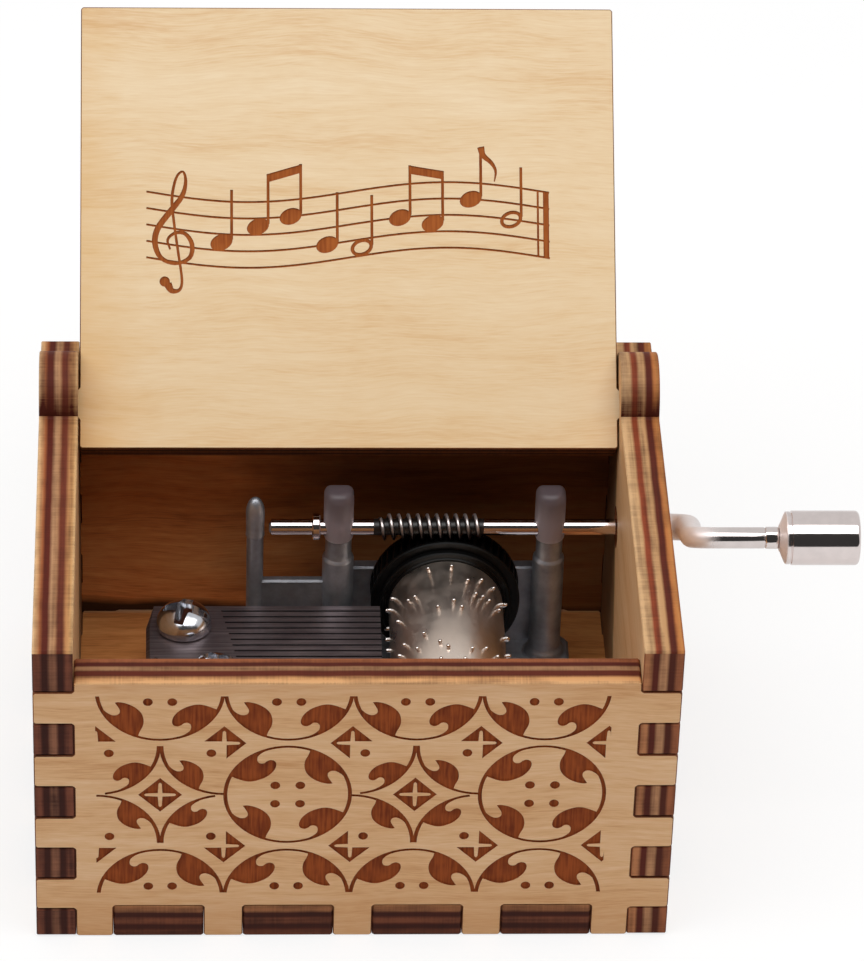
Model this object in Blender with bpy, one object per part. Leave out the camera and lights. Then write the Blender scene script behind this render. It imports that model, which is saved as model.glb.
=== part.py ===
"""Hand crank music box.

A laser-cut plywood box, whose lid turns on pivots of its own, holds an eighteen-note movement. The
crank turns a worm shaft, the worm turns the pin barrel, and the pins pass the tips of the comb.
X runs along the crank shaft, -Y is the front of the box, and the origin is the middle of its
underside. The lid is modelled open, leaning back on the top of the back panel.
"""

import math

import bpy
import numpy as np

MM = 0.001

# Plywood box
PLY = 4.0 * MM
BOX_WIDTH = 64.0 * MM
BOX_DEPTH = 52.0 * MM
SIDE_HEIGHT = 37.0 * MM
FIRST_FINGER = 3.65 * MM
FINGER = 4.03 * MM
KERF_GAP = 0.15 * MM
TAB_SPACE = 4.0 * MM
TAB_END_ACROSS = 3.8 * MM
TAB_END_DEEP = 4.35 * MM
TABS_ACROSS = 4
TABS_DEEP = 3

# Lid and its pivots
PIVOT_FROM_BACK = 5.35 * MM
PIVOT_WIDTH = 3.0 * MM
PIVOT_RECESS = 0.3 * MM
PIVOT_CLEARANCE = 0.2 * MM
EAR_RADIUS = 4.35 * MM
LID_SIDE_GAP = 0.25 * MM
LID_FRONT_GAP = 0.35 * MM
LID_BACK_GAP = 0.65 * MM
LID_REST_GAP = 0.15 * MM
LID_STOP_GAP = 0.24 * MM

# Crank shaft, worm and thrust collar
SHAFT_FROM_MIDDLE = 10.7 * MM
SHAFT_OVER_FLOOR = 20.1 * MM
SHAFT_RADIUS = 0.86 * MM
SHAFT_CHAMFER = 0.2 * MM
RUNNING_CLEARANCE = 0.07 * MM
PRESS_GAP = 0.05 * MM
WORM_LEAD = 0.99 * MM
WORM_TIP_RADIUS = 1.4 * MM
WORM_TURNS = 11
TURNS_LEFT = 7
THREAD_TIP_SHARE = 0.2
THREAD_ROOT_SHARE = 0.5
COLLAR_RADIUS = 1.42 * MM
COLLAR_WIDTH = 0.86 * MM
COLLAR_GAP = 0.3 * MM

# Worm wheel
WHEEL_TEETH = 48
WHEEL_WIDTH = 3.0 * MM
TOOTH_ADDENDUM = 0.26 * MM
TOOTH_DEDENDUM = 0.33 * MM
TOOTH_TIP_SHARE = 0.34
TOOTH_ROOT_SHARE = 0.62
TIP_CLEARANCE = 0.11 * MM
WHEEL_BOSS_RADIUS = 6.9 * MM
WHEEL_BOSS = 0.6 * MM

# Pin barrel on its arbor
BARREL_FROM_MIDDLE = 10.35 * MM
BARREL_RADIUS = 6.0 * MM
BARREL_LENGTH = 19.7 * MM
PIN_LENGTH = 0.75 * MM
PIN_RADIUS = 0.22 * MM
PIN_ROOT = 0.35 * MM
PIN_TIP_SHARE = 0.65
PIN_SIDES = 6
BEATS = 48
ARBOR_RADIUS = 0.95 * MM
ARBOR_END = 0.6 * MM
END_CAP = 0.9 * MM
END_CAP_INSET = 0.25 * MM
CLIP_RADIUS = 1.9 * MM
CLIP_THICKNESS = 0.5 * MM
SEAT_GAP = 0.06 * MM
END_PLAY = 0.35 * MM

# Comb and its tuning weights
COMB_TEETH = 18
TOOTH_PITCH = 0.94 * MM
SLOT_WIDTH = 0.18 * MM
COMB_LENGTH = 24.05 * MM
COMB_THICKNESS = 2.0 * MM
COMB_TOOTH_THICKNESS = 0.85 * MM
COMB_RISE = 0.8 * MM
COMB_MARGIN = 1.1 * MM
COMB_CHAMFER = 0.35 * MM
PLUCK_GAP = 0.15 * MM
BASS_SLOT = 17.25 * MM
TREBLE_SLOT = 12.75 * MM
ANVIL_INSET = 0.15 * MM
ANVIL_MARGIN = 0.5 * MM
WEIGHT_COUNT = 6
WEIGHT_DEPTH = 1.3 * MM
BASS_WEIGHT = 2.9 * MM
WEIGHT_STEP = 0.3 * MM
WEIGHT_FROM_TIP = 0.6 * MM

# Comb screws
COMB_SCREW_RADIUS = 1.25 * MM
COMB_SCREW_LENGTH = 5.2 * MM
SCREW_HEAD_RADIUS = 2.9 * MM
SCREW_HEAD_HEIGHT = 1.8 * MM
SCREW_RIM = 0.35 * MM
SCREW_HOLE_GAP = 0.2 * MM
THREAD_GAP = 0.08 * MM
RECESS_SPAN = 3.1 * MM
RECESS_WIDTH = 0.75 * MM
RECESS_DEPTH = 0.95 * MM
REAR_SCREW_INSET = 3.3 * MM
REAR_SCREW_FROM_END = 3.53 * MM
FRONT_SCREW_INSET = 12.1 * MM
FRONT_SCREW_FROM_END = 6.7 * MM

# Cast frame of the movement
PLATE_OVER_FLOOR = 3.5 * MM
PLATE_THICKNESS = 2.0 * MM
PLATE_EDGE = 0.6 * MM
PLATE_CORNER = 2.0 * MM
LEFT_COLUMN_FROM_BARREL = 11.31 * MM
RIGHT_COLUMN_FROM_BARREL = 10.75 * MM
COLUMN_RADIUS = 1.65 * MM
COLUMN_FOOT_RADIUS = 2.05 * MM
COLUMN_FOOT = 0.6 * MM
NECK_RADIUS = 1.38 * MM
NECK_UNDER_SHAFT = 1.25 * MM
NECK_LENGTH = 2.4 * MM
SHOULDER = 0.25 * MM
END_POST_FROM_COLUMN = 8.7 * MM
END_POST_RADIUS = 0.98 * MM
END_POST_NECK_RADIUS = 0.91 * MM
END_POST_OVER_SHAFT = 3.8 * MM
END_POST_LIP_UNDER_SHAFT = 0.8 * MM
END_POST_DOME = 1.9 * MM
END_POST_GAP = 0.44 * MM
LOW_WALL = 1.0 * MM
WALL_OVER_ARBOR = 2.0 * MM
REAR_WALL = 1.4 * MM
WHEEL_GAP = 0.3 * MM
RIB_WIDTH = 1.8 * MM
POCKET_HALF_WIDTH = 3.4 * MM
POCKET_DEPTH = 0.7 * MM
BEARING_WIDTH = 6.4 * MM
BEARING_OVER_ARBOR = 2.4 * MM
BEARING_THICKNESS = 1.7 * MM
COMB_SEAT_LENGTH = 10.3 * MM
COMB_SEAT_INSET = 0.3 * MM
BOSS_RADIUS = 2.3 * MM

# Nylon bushes that cap the two columns
BUSH_RADIUS = 1.63 * MM
BUSH_OVER_SHAFT = 4.85 * MM
BUSH_ROUNDING = 0.5 * MM
BUSH_LIP = 0.3 * MM
PEG_RADIUS = 0.75 * MM
PEG_LENGTH = 3.0 * MM
PEG_GAP = 0.07 * MM

# Screws from below that hold the movement
FIXING_RADIUS = 1.1 * MM
FIXING_LENGTH = 8.2 * MM
FLAT_HEAD_RADIUS = 2.1 * MM
FLAT_HEAD_HEIGHT = 1.2 * MM
FLAT_HEAD_RECESS = 0.3 * MM
FLAT_HEAD_CROSS = 2.2 * MM
FLAT_HEAD_CROSS_WIDTH = 0.55 * MM
FLAT_HEAD_CROSS_DEPTH = 0.7 * MM
FIXING_FROM_COMB_END = 3.6 * MM

# Crank arm and its grip pin
CRANK_HOLE_RADIUS = 2.1 * MM
CRANK_WALL_GAP = 0.8 * MM
CRANK_LENGTH = 17.0 * MM
CRANK_RISE = math.radians(34.0)
ELBOW_FROM_WALL = 3.5 * MM
GRIP_ELBOW_FROM_WALL = 2.4 * MM
CRANK_BEND = 1.9 * MM
HUB_RADIUS = 1.4 * MM
HUB_BORE_DEPTH = 1.6 * MM
GRIP_ROD_RADIUS = 1.09 * MM
CRIMP_RADIUS = 1.18 * MM
CRIMP_LENGTH = 1.4 * MM
CRIMP_FROM_WALL = 9.85 * MM
GRIP_PIN_RADIUS = 0.7 * MM
GRIP_PIN_DEPTH = 2.5 * MM
RIVET_RADIUS = 1.45 * MM
RIVET_HEIGHT = 0.5 * MM

# Knob
KNOB_RADIUS = 2.78 * MM
KNOB_LENGTH = 8.1 * MM
KNOB_NOSE_RADIUS = 1.45 * MM
KNOB_NOSE = 0.6 * MM
KNOB_SHOULDER = 0.45 * MM
KNOB_SHOULDER_STEP = 0.08 * MM
KNOB_EDGE = 0.4 * MM
KNOB_BORE_GAP = 0.08 * MM
COUNTERBORE_GAP = 0.3 * MM
COUNTERBORE_DEPTH = 1.0 * MM

# How far a cutter runs past what it cuts, and how deep a joined shape reaches into its neighbour
OVERRUN = 1.0 * MM
BURIED = 0.3 * MM

BARREL_SIDES = 48
ROD_SIDES = 20
SMOOTH_ANGLE = math.radians(35.0)

# Places that follow from the sizes above
FRONT = -BOX_DEPTH / 2
BACK = BOX_DEPTH / 2
INNER_BACK = BACK - PLY
OUTER_SIDE = BOX_WIDTH / 2
INNER_SIDE = OUTER_SIDE - PLY
FRONT_HEIGHT = SIDE_HEIGHT - PLY
PIVOT_Y = INNER_BACK - PIVOT_FROM_BACK
PIVOT_Z = FRONT_HEIGHT + LID_REST_GAP + PLY / 2
SHAFT_Y = SHAFT_FROM_MIDDLE
SHAFT_Z = PLY + SHAFT_OVER_FLOOR
WHEEL_PITCH_RADIUS = WHEEL_TEETH * WORM_LEAD / math.tau
WHEEL_TIP_RADIUS = WHEEL_PITCH_RADIUS + TOOTH_ADDENDUM
WORM_PITCH_RADIUS = SHAFT_RADIUS + TIP_CLEARANCE + TOOTH_ADDENDUM
BARREL_X = BARREL_FROM_MIDDLE
BARREL_Z = SHAFT_Z - WORM_PITCH_RADIUS - WHEEL_PITCH_RADIUS
WHEEL_FRONT = SHAFT_Y - WHEEL_WIDTH / 2
WHEEL_BACK = SHAFT_Y + WHEEL_WIDTH / 2
BARREL_BACK = WHEEL_FRONT - WHEEL_BOSS
BARREL_FRONT = BARREL_BACK - BARREL_LENGTH
CAP_FRONT = BARREL_FRONT - END_CAP
PIN_TIP_RADIUS = BARREL_RADIUS + PIN_LENGTH
COMB_TIP_X = BARREL_X - PIN_TIP_RADIUS - PLUCK_GAP
COMB_END_X = COMB_TIP_X - COMB_LENGTH
COMB_BACK = BARREL_BACK - COMB_MARGIN
COMB_FRONT = COMB_BACK - COMB_TEETH * TOOTH_PITCH + SLOT_WIDTH
COMB_TOP = BARREL_Z + COMB_RISE
COMB_UNDERSIDE = COMB_TOP - COMB_THICKNESS
TOOTH_UNDERSIDE = COMB_TOP - COMB_TOOTH_THICKNESS
REAR_SCREW = (COMB_END_X + REAR_SCREW_FROM_END, COMB_BACK - REAR_SCREW_INSET)
FRONT_SCREW = (COMB_END_X + FRONT_SCREW_FROM_END, COMB_BACK - FRONT_SCREW_INSET)
LEFT_COLUMN_X = BARREL_X - LEFT_COLUMN_FROM_BARREL
RIGHT_COLUMN_X = BARREL_X + RIGHT_COLUMN_FROM_BARREL
END_POST_X = LEFT_COLUMN_X - END_POST_FROM_COLUMN
SHAFT_START_X = END_POST_X + END_POST_RADIUS + END_POST_GAP
NECK_TOP = SHAFT_Z - NECK_UNDER_SHAFT
NECK_FOOT = NECK_TOP - NECK_LENGTH
PLATE_TOP = PLY + PLATE_OVER_FLOOR
PLATE_BOTTOM = PLATE_TOP - PLATE_THICKNESS
REAR_WALL_FRONT = WHEEL_BACK + WHEEL_GAP
REAR_WALL_BACK = REAR_WALL_FRONT + REAR_WALL
WALL_TOP = BARREL_Z + WALL_OVER_ARBOR
BEARING_BACK = CAP_FRONT - END_PLAY
BEARING_FRONT = BEARING_BACK - BEARING_THICKNESS
CLIP_BACK = BEARING_FRONT - SEAT_GAP
CRANK_START_X = OUTER_SIDE + CRANK_WALL_GAP
CRIMP_X = OUTER_SIDE + CRIMP_FROM_WALL
CRIMP_END_X = CRIMP_X + CRIMP_LENGTH
KNOB_START_X = CRIMP_END_X + SEAT_GAP
KNOB_END_X = KNOB_START_X + KNOB_LENGTH
COLUMNS_X = (LEFT_COLUMN_X, RIGHT_COLUMN_X)
FIXINGS = (
    (LEFT_COLUMN_X, SHAFT_Y),
    (RIGHT_COLUMN_X, SHAFT_Y),
    (COMB_END_X + FIXING_FROM_COMB_END, COMB_FRONT),
)

# The lid leans back until its outer face is a stop gap away from the back panel's top inner edge.
STOP_RISE = SIDE_HEIGHT - PIVOT_Z
STOP_REACH = math.hypot(PIVOT_FROM_BACK, STOP_RISE)
STOP_ANGLE = math.acos((PLY / 2 + LID_STOP_GAP) / STOP_REACH)
LID_TILT = STOP_ANGLE - math.atan2(STOP_RISE, PIVOT_FROM_BACK)
LID_OPENING = math.radians(90.0) + LID_TILT


def clear_scene():
    for thing in list(bpy.data.objects):
        bpy.data.objects.remove(thing)


def surface(name, colour, roughness, metallic=0.0):
    """A Principled material of one colour, given as linear red, green and blue."""
    material = bpy.data.materials.new(name)
    material.use_nodes = True
    shader = material.node_tree.nodes["Principled BSDF"]
    shader.inputs["Base Color"].default_value = (*colour, 1.0)
    shader.inputs["Roughness"].default_value = roughness
    shader.inputs["Metallic"].default_value = metallic
    return material


def make(name, shape, material=None, parent=None, smooth=False):
    """An object from (points, faces). Without a material it is a helper that no render shows."""
    points, faces = shape
    mesh = bpy.data.meshes.new(name)
    mesh.from_pydata([tuple(point) for point in points], [], [tuple(face) for face in faces])
    if smooth:
        mesh.shade_smooth()
        mesh.set_sharp_from_angle(angle=SMOOTH_ANGLE)
    piece = bpy.data.objects.new(name, mesh)
    bpy.context.scene.collection.objects.link(piece)
    piece.parent = parent
    if material:
        mesh.materials.append(material)
    else:
        piece.hide_render = True
        piece.display_type = "WIRE"
    return piece


def axis_empty(name, place, parent=None):
    """An empty on a joint's axis. The pieces that turn there hang from it."""
    holder = bpy.data.objects.new(name, None)
    bpy.context.scene.collection.objects.link(holder)
    holder.parent = parent
    holder.location = place
    return holder


def boolean(piece, operation, tools):
    for tool in tools:
        modifier = piece.modifiers.new(tool.name, "BOOLEAN")
        modifier.operation = operation
        modifier.object = tool


def cut(piece, *tools):
    boolean(piece, "DIFFERENCE", tools)


def weld(piece, *tools):
    boolean(piece, "UNION", tools)


def block(low, high):
    """A box between two corners."""
    x, y, z = zip(low, high)
    points = [(x[i], y[j], z[k]) for k in (0, 1) for j in (0, 1) for i in (0, 1)]
    faces = [(0, 2, 3, 1), (4, 5, 7, 6), (0, 1, 5, 4), (2, 6, 7, 3), (0, 4, 6, 2), (1, 3, 7, 5)]
    return points, faces


def together(shapes):
    """Separate shapes as one mesh, for a helper that cuts or joins several places at once."""
    points, faces = [], []
    for shape_points, shape_faces in shapes:
        start = len(points)
        points += list(shape_points)
        faces += [tuple(start + index for index in face) for face in shape_faces]
    return points, faces


def plate(outline, low, high, along):
    """An outline, counter-clockwise when seen from +along, pulled from low to high along an axis.

    The outline's pairs are (Y, Z) for X, (Z, X) for Y and (X, Y) for Z.
    """
    count = len(outline)
    shift = {"X": 1, "Y": 2, "Z": 0}[along]
    points = [np.roll((*pair, height), shift) for height in (low, high) for pair in outline]
    faces = [tuple(reversed(range(count))), tuple(range(count, 2 * count))]
    for index in range(count):
        after = (index + 1) % count
        faces.append((index, after, count + after, count + index))
    return points, faces


def front_view(outline):
    """An (X, Z) outline, counter-clockwise when seen from the front, as plate takes it for Y."""
    return [(z, x) for x, z in reversed(outline)]


def turned(profile, along, centre=(0, 0, 0), sides=ROD_SIDES):
    """A solid of revolution about X, Y or Z through centre.

    The profile runs up the axis as (place, radius). An end is a flat disc, or a point where its
    radius is zero.
    """
    shift = {"X": 1, "Y": 2, "Z": 0}[along]
    angles = [math.tau * side / sides for side in range(sides)]
    points, rings = [], []
    for place, radius in profile:
        ring = [(radius * math.cos(a), radius * math.sin(a), place) for a in angles]
        ring = ring if radius else ring[:1]
        rings.append(range(len(points), len(points) + len(ring)))
        points += [np.roll(point, shift) + np.array(centre) for point in ring]
    return points, tube_faces(rings)


def tube_faces(rings):
    """Faces between rings of vertex numbers, and over the two ends. A ring may be one point."""
    sides = max(len(ring) for ring in rings)
    faces = []
    for below, above in zip(rings, rings[1:]):
        for side in range(sides):
            after = side + 1
            corners = [below[side % len(below)], below[after % len(below)]]
            corners += [above[after % len(above)], above[side % len(above)]]
            faces.append(tuple(dict.fromkeys(corners)))
    if len(rings[0]) > 1:
        faces.append(tuple(reversed(rings[0])))
    if len(rings[-1]) > 1:
        faces.append(tuple(rings[-1]))
    return faces


def rod(along, low, high, radius, centre=(0, 0, 0), sides=ROD_SIDES):
    """A plain cylinder between two places on an axis through centre."""
    return turned([(low, radius), (high, radius)], along, centre, sides)


def dome(foot, rise, radius, flat=0.0, steps=5):
    """A quarter ellipse for a turned profile, from radius at foot to flat at the top."""
    angles = [math.pi / 2 * step / steps for step in range(steps)]
    curve = [(foot + rise * math.sin(a), flat + (radius - flat) * math.cos(a)) for a in angles]
    return curve + [(foot + rise, flat)]


def arc(middle, radius, start, end, steps):
    """Points on an arc, both ends included."""
    angles = np.linspace(start, end, steps + 1)
    return [(middle[0] + radius * math.cos(a), middle[1] + radius * math.sin(a)) for a in angles]


def finger_bands():
    """The height (low, high) of each finger that a front or back panel puts through a side panel."""
    count = math.ceil((FRONT_HEIGHT - FIRST_FINGER - FINGER) / (2 * FINGER))
    lows = [FIRST_FINGER + 2 * FINGER * index for index in range(count)]
    return [(low, low + FINGER) for low in lows]


def tab_bands(half_inside, end, count):
    """The (low, high) of each tab of the base panel along one edge, between two inner walls."""
    pitch = (2 * (half_inside - end) + TAB_SPACE) / count
    lows = [end - half_inside + index * pitch for index in range(count)]
    return [(low, low + pitch - TAB_SPACE) for low in lows]


def tabs_across():
    return tab_bands(INNER_SIDE, TAB_END_ACROSS, TABS_ACROSS)


def tabs_deep():
    return tab_bands(INNER_BACK, TAB_END_DEEP, TABS_DEEP)


def notched_edge(half_length, bands):
    """The lower edge of a wall, with a notch over each tab of the base panel."""
    notch = PLY + KERF_GAP
    points = [(-half_length, 0)]
    for band_low, band_high in bands:
        low, high = band_low - KERF_GAP, band_high + KERF_GAP
        points += [(low, 0), (low, notch), (high, notch), (high, 0)]
    return points + [(half_length, 0)]


def end_panel_outline(height):
    """(X, Z) outline of the front or back panel."""
    body = INNER_SIDE - KERF_GAP
    right = []
    for band_low, band_high in finger_bands():
        low, high = band_low + KERF_GAP, band_high - KERF_GAP
        right += [(body, low), (OUTER_SIDE, low), (OUTER_SIDE, high), (body, high)]
    left = [(-x, z) for x, z in reversed(right)]
    return notched_edge(body, tabs_across()) + right + [(body, height), (-body, height)] + left


def side_panel_outline():
    """(Y, Z) outline of a side panel, with the round ear that holds the lid's pivot."""
    slot = INNER_BACK - KERF_GAP
    back = []
    for low, high in finger_bands():
        back += [(BACK, low), (slot, low), (slot, high), (BACK, high)]
    front = [(-y, z) for y, z in reversed(back)]
    ear = arc((PIVOT_Y, SIDE_HEIGHT), EAR_RADIUS, 0, math.pi, BARREL_SIDES // 3)
    top = [(BACK, SIDE_HEIGHT)] + ear + [(FRONT, SIDE_HEIGHT)]
    return notched_edge(BACK, tabs_deep()) + back + top + front


def base_outline():
    """(X, Y) outline of the base, with tabs through all four walls."""
    half_x, half_y = INNER_SIDE - KERF_GAP, INNER_BACK - KERF_GAP
    front, right = [(-half_x, -half_y)], [(half_x, -half_y)]
    for low, high in tabs_across():
        front += [(low, -half_y), (low, FRONT), (high, FRONT), (high, -half_y)]
    for low, high in tabs_deep():
        right += [(half_x, low), (OUTER_SIDE, low), (OUTER_SIDE, high), (half_x, high)]
    half = front + right
    return half + [(-x, -y) for x, y in half]


def build_box(ply):
    front_outline = front_view(end_panel_outline(FRONT_HEIGHT))
    back_outline = front_view(end_panel_outline(SIDE_HEIGHT))
    make("front_panel", plate(front_outline, FRONT, FRONT + PLY, "Y"), ply)
    make("back_panel", plate(back_outline, INNER_BACK, BACK, "Y"), ply)
    base = make("base_panel", plate(base_outline(), 0, PLY, "Z"), ply)
    left = make("side_panel_left", plate(side_panel_outline(), -OUTER_SIDE, -INNER_SIDE, "X"), ply)
    right = make("side_panel_right", plate(side_panel_outline(), INNER_SIDE, OUTER_SIDE, "X"), ply)
    reach = OUTER_SIDE + OVERRUN
    pivot_radius = math.hypot(PIVOT_WIDTH, PLY) / 2 + PIVOT_CLEARANCE
    pivots = rod("X", -reach, reach, pivot_radius, (0, PIVOT_Y, PIVOT_Z), BARREL_SIDES // 2)
    pivot_holes = make("pivot_holes", pivots)
    crank_hole = rod("X", 0, reach, CRANK_HOLE_RADIUS, (0, SHAFT_Y, SHAFT_Z))
    cut(left, pivot_holes)
    cut(right, pivot_holes, make("crank_hole", crank_hole))
    hole, head = FIXING_RADIUS + SCREW_HOLE_GAP, FLAT_HEAD_RADIUS + SCREW_HOLE_GAP
    profile = [
        (-OVERRUN, head),
        (FLAT_HEAD_RECESS, head),
        (FLAT_HEAD_RECESS + FLAT_HEAD_HEIGHT, hole),
        (PLY + OVERRUN, hole),
    ]
    countersinks = together([turned(profile, "Z", (x, y, 0)) for x, y in FIXINGS])
    cut(base, make("countersinks", countersinks))


def build_lid(ply):
    """The lid lies flat in its own frame, with the pivot line at the origin. The frame tilts it."""
    axis = axis_empty("lid_axis", (0, PIVOT_Y, PIVOT_Z))
    axis.rotation_euler = (-LID_OPENING, 0, 0)
    half, tip = INNER_SIDE - LID_SIDE_GAP, OUTER_SIDE - PIVOT_RECESS
    heel, nose = PIVOT_FROM_BACK - LID_BACK_GAP, FRONT + LID_FRONT_GAP - PIVOT_Y
    pin = PIVOT_WIDTH / 2
    right = [(half, nose), (half, -pin), (tip, -pin), (tip, pin), (half, pin), (half, heel)]
    outline = right + [(-x, y) for x, y in reversed(right)]
    make("lid", plate(outline, -PLY / 2, PLY / 2, "Z"), ply, axis)


def column(x):
    """A turned column of the casting, with a foot below and a neck that enters the bush."""
    profile = [
        (PLATE_BOTTOM + BURIED, COLUMN_FOOT_RADIUS),
        (PLATE_TOP + COLUMN_FOOT, COLUMN_FOOT_RADIUS),
        (PLATE_TOP + 2 * COLUMN_FOOT, COLUMN_RADIUS),
        (NECK_FOOT - SHOULDER, COLUMN_RADIUS),
        (NECK_FOOT, NECK_RADIUS),
        (NECK_TOP, NECK_RADIUS),
    ]
    return turned(profile, "Z", (x, SHAFT_Y, 0))


def end_post():
    """The bullet-shaped post that the shaft's end stops against."""
    lip, top = SHAFT_Z - END_POST_LIP_UNDER_SHAFT, SHAFT_Z + END_POST_OVER_SHAFT
    foot = [(PLATE_BOTTOM + BURIED, END_POST_NECK_RADIUS), (lip - SHOULDER, END_POST_NECK_RADIUS)]
    head = dome(top - END_POST_DOME, END_POST_DOME, END_POST_RADIUS)
    return turned(foot + [(lip, END_POST_RADIUS)] + head, "Z", (END_POST_X, SHAFT_Y, 0))


def rounded_rectangle(low, high, corner):
    """(X, Y) outline of a rectangle with round corners."""
    left, right = low[0] + corner, high[0] - corner
    near, far = low[1] + corner, high[1] - corner
    points = []
    for index, middle in enumerate([(right, far), (left, far), (left, near), (right, near)]):
        start = index * math.pi / 2
        points += arc(middle, corner, start, start + math.pi / 2, 4)
    return points


def frame_walls():
    """The comb's seat, the walls behind the wheel and beside the end post, and the ribs."""
    foot = PLATE_TOP - BURIED
    seat_left = COMB_END_X + COMB_SEAT_INSET
    wall_end = COLUMN_RADIUS - BURIED
    seat = block(
        (seat_left, COMB_FRONT + COMB_SEAT_INSET, foot),
        (seat_left + COMB_SEAT_LENGTH, COMB_BACK - COMB_SEAT_INSET, COMB_UNDERSIDE - SEAT_GAP),
    )
    rear_wall = block(
        (LEFT_COLUMN_X - wall_end, REAR_WALL_FRONT, foot),
        (RIGHT_COLUMN_X + wall_end, REAR_WALL_BACK, WALL_TOP),
    )
    low_wall = block(
        (END_POST_X, SHAFT_Y - LOW_WALL / 2, foot),
        (LEFT_COLUMN_X, SHAFT_Y + LOW_WALL / 2, WALL_TOP),
    )
    ribs = [
        block(
            (x - RIB_WIDTH / 2, SHAFT_Y, foot),
            (x + RIB_WIDTH / 2, REAR_WALL_BACK - BURIED, WALL_TOP - BURIED),
        )
        for x in COLUMNS_X
    ]
    return [seat, rear_wall, low_wall, *ribs]


def front_bearing():
    """The upright that carries the arbor's front end."""
    half, foot = BEARING_WIDTH / 2, PLATE_TOP - BURIED
    crown = arc((BARREL_X, BARREL_Z), BEARING_OVER_ARBOR, 0, math.pi, BARREL_SIDES // 4)
    outline = [(BARREL_X - half, foot), (BARREL_X + half, foot)] + crown
    return plate(front_view(outline), BEARING_FRONT, BEARING_BACK, "Y")


def frame_holes():
    """The frame's screw holes, and the holes for the bushes' pegs."""
    fixing, thread = FIXING_RADIUS + THREAD_GAP, COMB_SCREW_RADIUS + THREAD_GAP
    fixing_top = FLAT_HEAD_RECESS + FIXING_LENGTH + SCREW_HOLE_GAP
    thread_end = COMB_TOP - COMB_SCREW_LENGTH - SCREW_HOLE_GAP
    peg_end = NECK_TOP - PEG_LENGTH - SCREW_HOLE_GAP
    peg = PEG_RADIUS + PEG_GAP
    holes = [rod("Z", 0, fixing_top, fixing, (x, y, 0)) for x, y in FIXINGS]
    holes += [rod("Z", thread_end, COMB_TOP, thread, (x, y, 0)) for x, y in (REAR_SCREW, FRONT_SCREW)]
    holes += [rod("Z", peg_end, NECK_TOP + OVERRUN, peg, (x, SHAFT_Y, 0)) for x in COLUMNS_X]
    return together(holes)


def build_frame(zinc):
    low = (COMB_END_X, BEARING_FRONT - PLATE_EDGE)
    high = (RIGHT_COLUMN_X + COLUMN_FOOT_RADIUS + PLATE_EDGE, REAR_WALL_BACK + PLATE_EDGE)
    outline = rounded_rectangle(low, high, PLATE_CORNER)
    frame = make("movement_frame", plate(outline, PLATE_BOTTOM, PLATE_TOP, "Z"), zinc)
    bosses = [
        rod("Z", PLY + SEAT_GAP, PLATE_BOTTOM + BURIED, BOSS_RADIUS, (x, y, 0)) for x, y in FIXINGS
    ]
    joined = [*frame_walls(), column(LEFT_COLUMN_X), column(RIGHT_COLUMN_X), end_post()]
    joined += [front_bearing(), together(bosses)]
    for index, shape in enumerate(joined):
        weld(frame, make(f"frame_part_{index + 1}", shape))
    pocket = block(
        (BARREL_X - POCKET_HALF_WIDTH, WHEEL_FRONT - WHEEL_GAP, PLATE_TOP - POCKET_DEPTH),
        (BARREL_X + POCKET_HALF_WIDTH, REAR_WALL_FRONT, PLATE_TOP + BURIED),
    )
    arbor_hole = rod(
        "Y", BEARING_FRONT - OVERRUN, REAR_WALL_BACK + OVERRUN,
        ARBOR_RADIUS + RUNNING_CLEARANCE, (BARREL_X, 0, BARREL_Z),
    )
    cut(frame, make("wheel_pocket", pocket), make("arbor_hole", arbor_hole))
    cut(frame, make("frame_holes", frame_holes()))


def build_comb(steel, lead):
    """The comb, cut from one steel plate, and the lead weights under its longest teeth."""
    section = [
        (COMB_END_X, TOOTH_UNDERSIDE),
        (COMB_TIP_X, TOOTH_UNDERSIDE),
        (COMB_TIP_X, COMB_TOP),
        (COMB_END_X + COMB_CHAMFER, COMB_TOP),
        (COMB_END_X, COMB_TOP - COMB_CHAMFER),
    ]
    comb = make("comb", plate(front_view(section), COMB_FRONT, COMB_BACK, "Y"), steel)
    left, near, far = COMB_END_X + ANVIL_INSET, COMB_FRONT + ANVIL_INSET, COMB_BACK - ANVIL_INSET
    anvil = [
        (left, near),
        (COMB_TIP_X - TREBLE_SLOT - ANVIL_MARGIN, near),
        (COMB_TIP_X - BASS_SLOT - ANVIL_MARGIN, far),
        (left, far),
    ]
    weld(comb, make("comb_anvil", plate(anvil, COMB_UNDERSIDE, TOOTH_UNDERSIDE + BURIED, "Z")))
    slots = []
    for index in range(1, COMB_TEETH):
        length = BASS_SLOT + (TREBLE_SLOT - BASS_SLOT) * index / COMB_TEETH
        far = COMB_BACK - index * TOOTH_PITCH + SLOT_WIDTH
        slots.append(block(
            (COMB_TIP_X - length, far - SLOT_WIDTH, COMB_UNDERSIDE - OVERRUN),
            (COMB_TIP_X + OVERRUN, far, COMB_TOP + OVERRUN),
        ))
    hole = COMB_SCREW_RADIUS + SCREW_HOLE_GAP
    holes = [
        rod("Z", COMB_UNDERSIDE - OVERRUN, COMB_TOP + OVERRUN, hole, (x, y, 0))
        for x, y in (REAR_SCREW, FRONT_SCREW)
    ]
    cut(comb, make("comb_slots", together(slots)), make("comb_holes", together(holes)))
    top = TOOTH_UNDERSIDE - SEAT_GAP
    right = COMB_TIP_X - WEIGHT_FROM_TIP
    for index in range(WEIGHT_COUNT):
        far = COMB_BACK - index * TOOTH_PITCH
        left, near = right - BASS_WEIGHT + index * WEIGHT_STEP, far - TOOTH_PITCH + SLOT_WIDTH
        weight = block((left, near, top - WEIGHT_DEPTH), (right, far, top))
        make(f"tuning_weight_{index + 1}", weight, lead)


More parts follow.
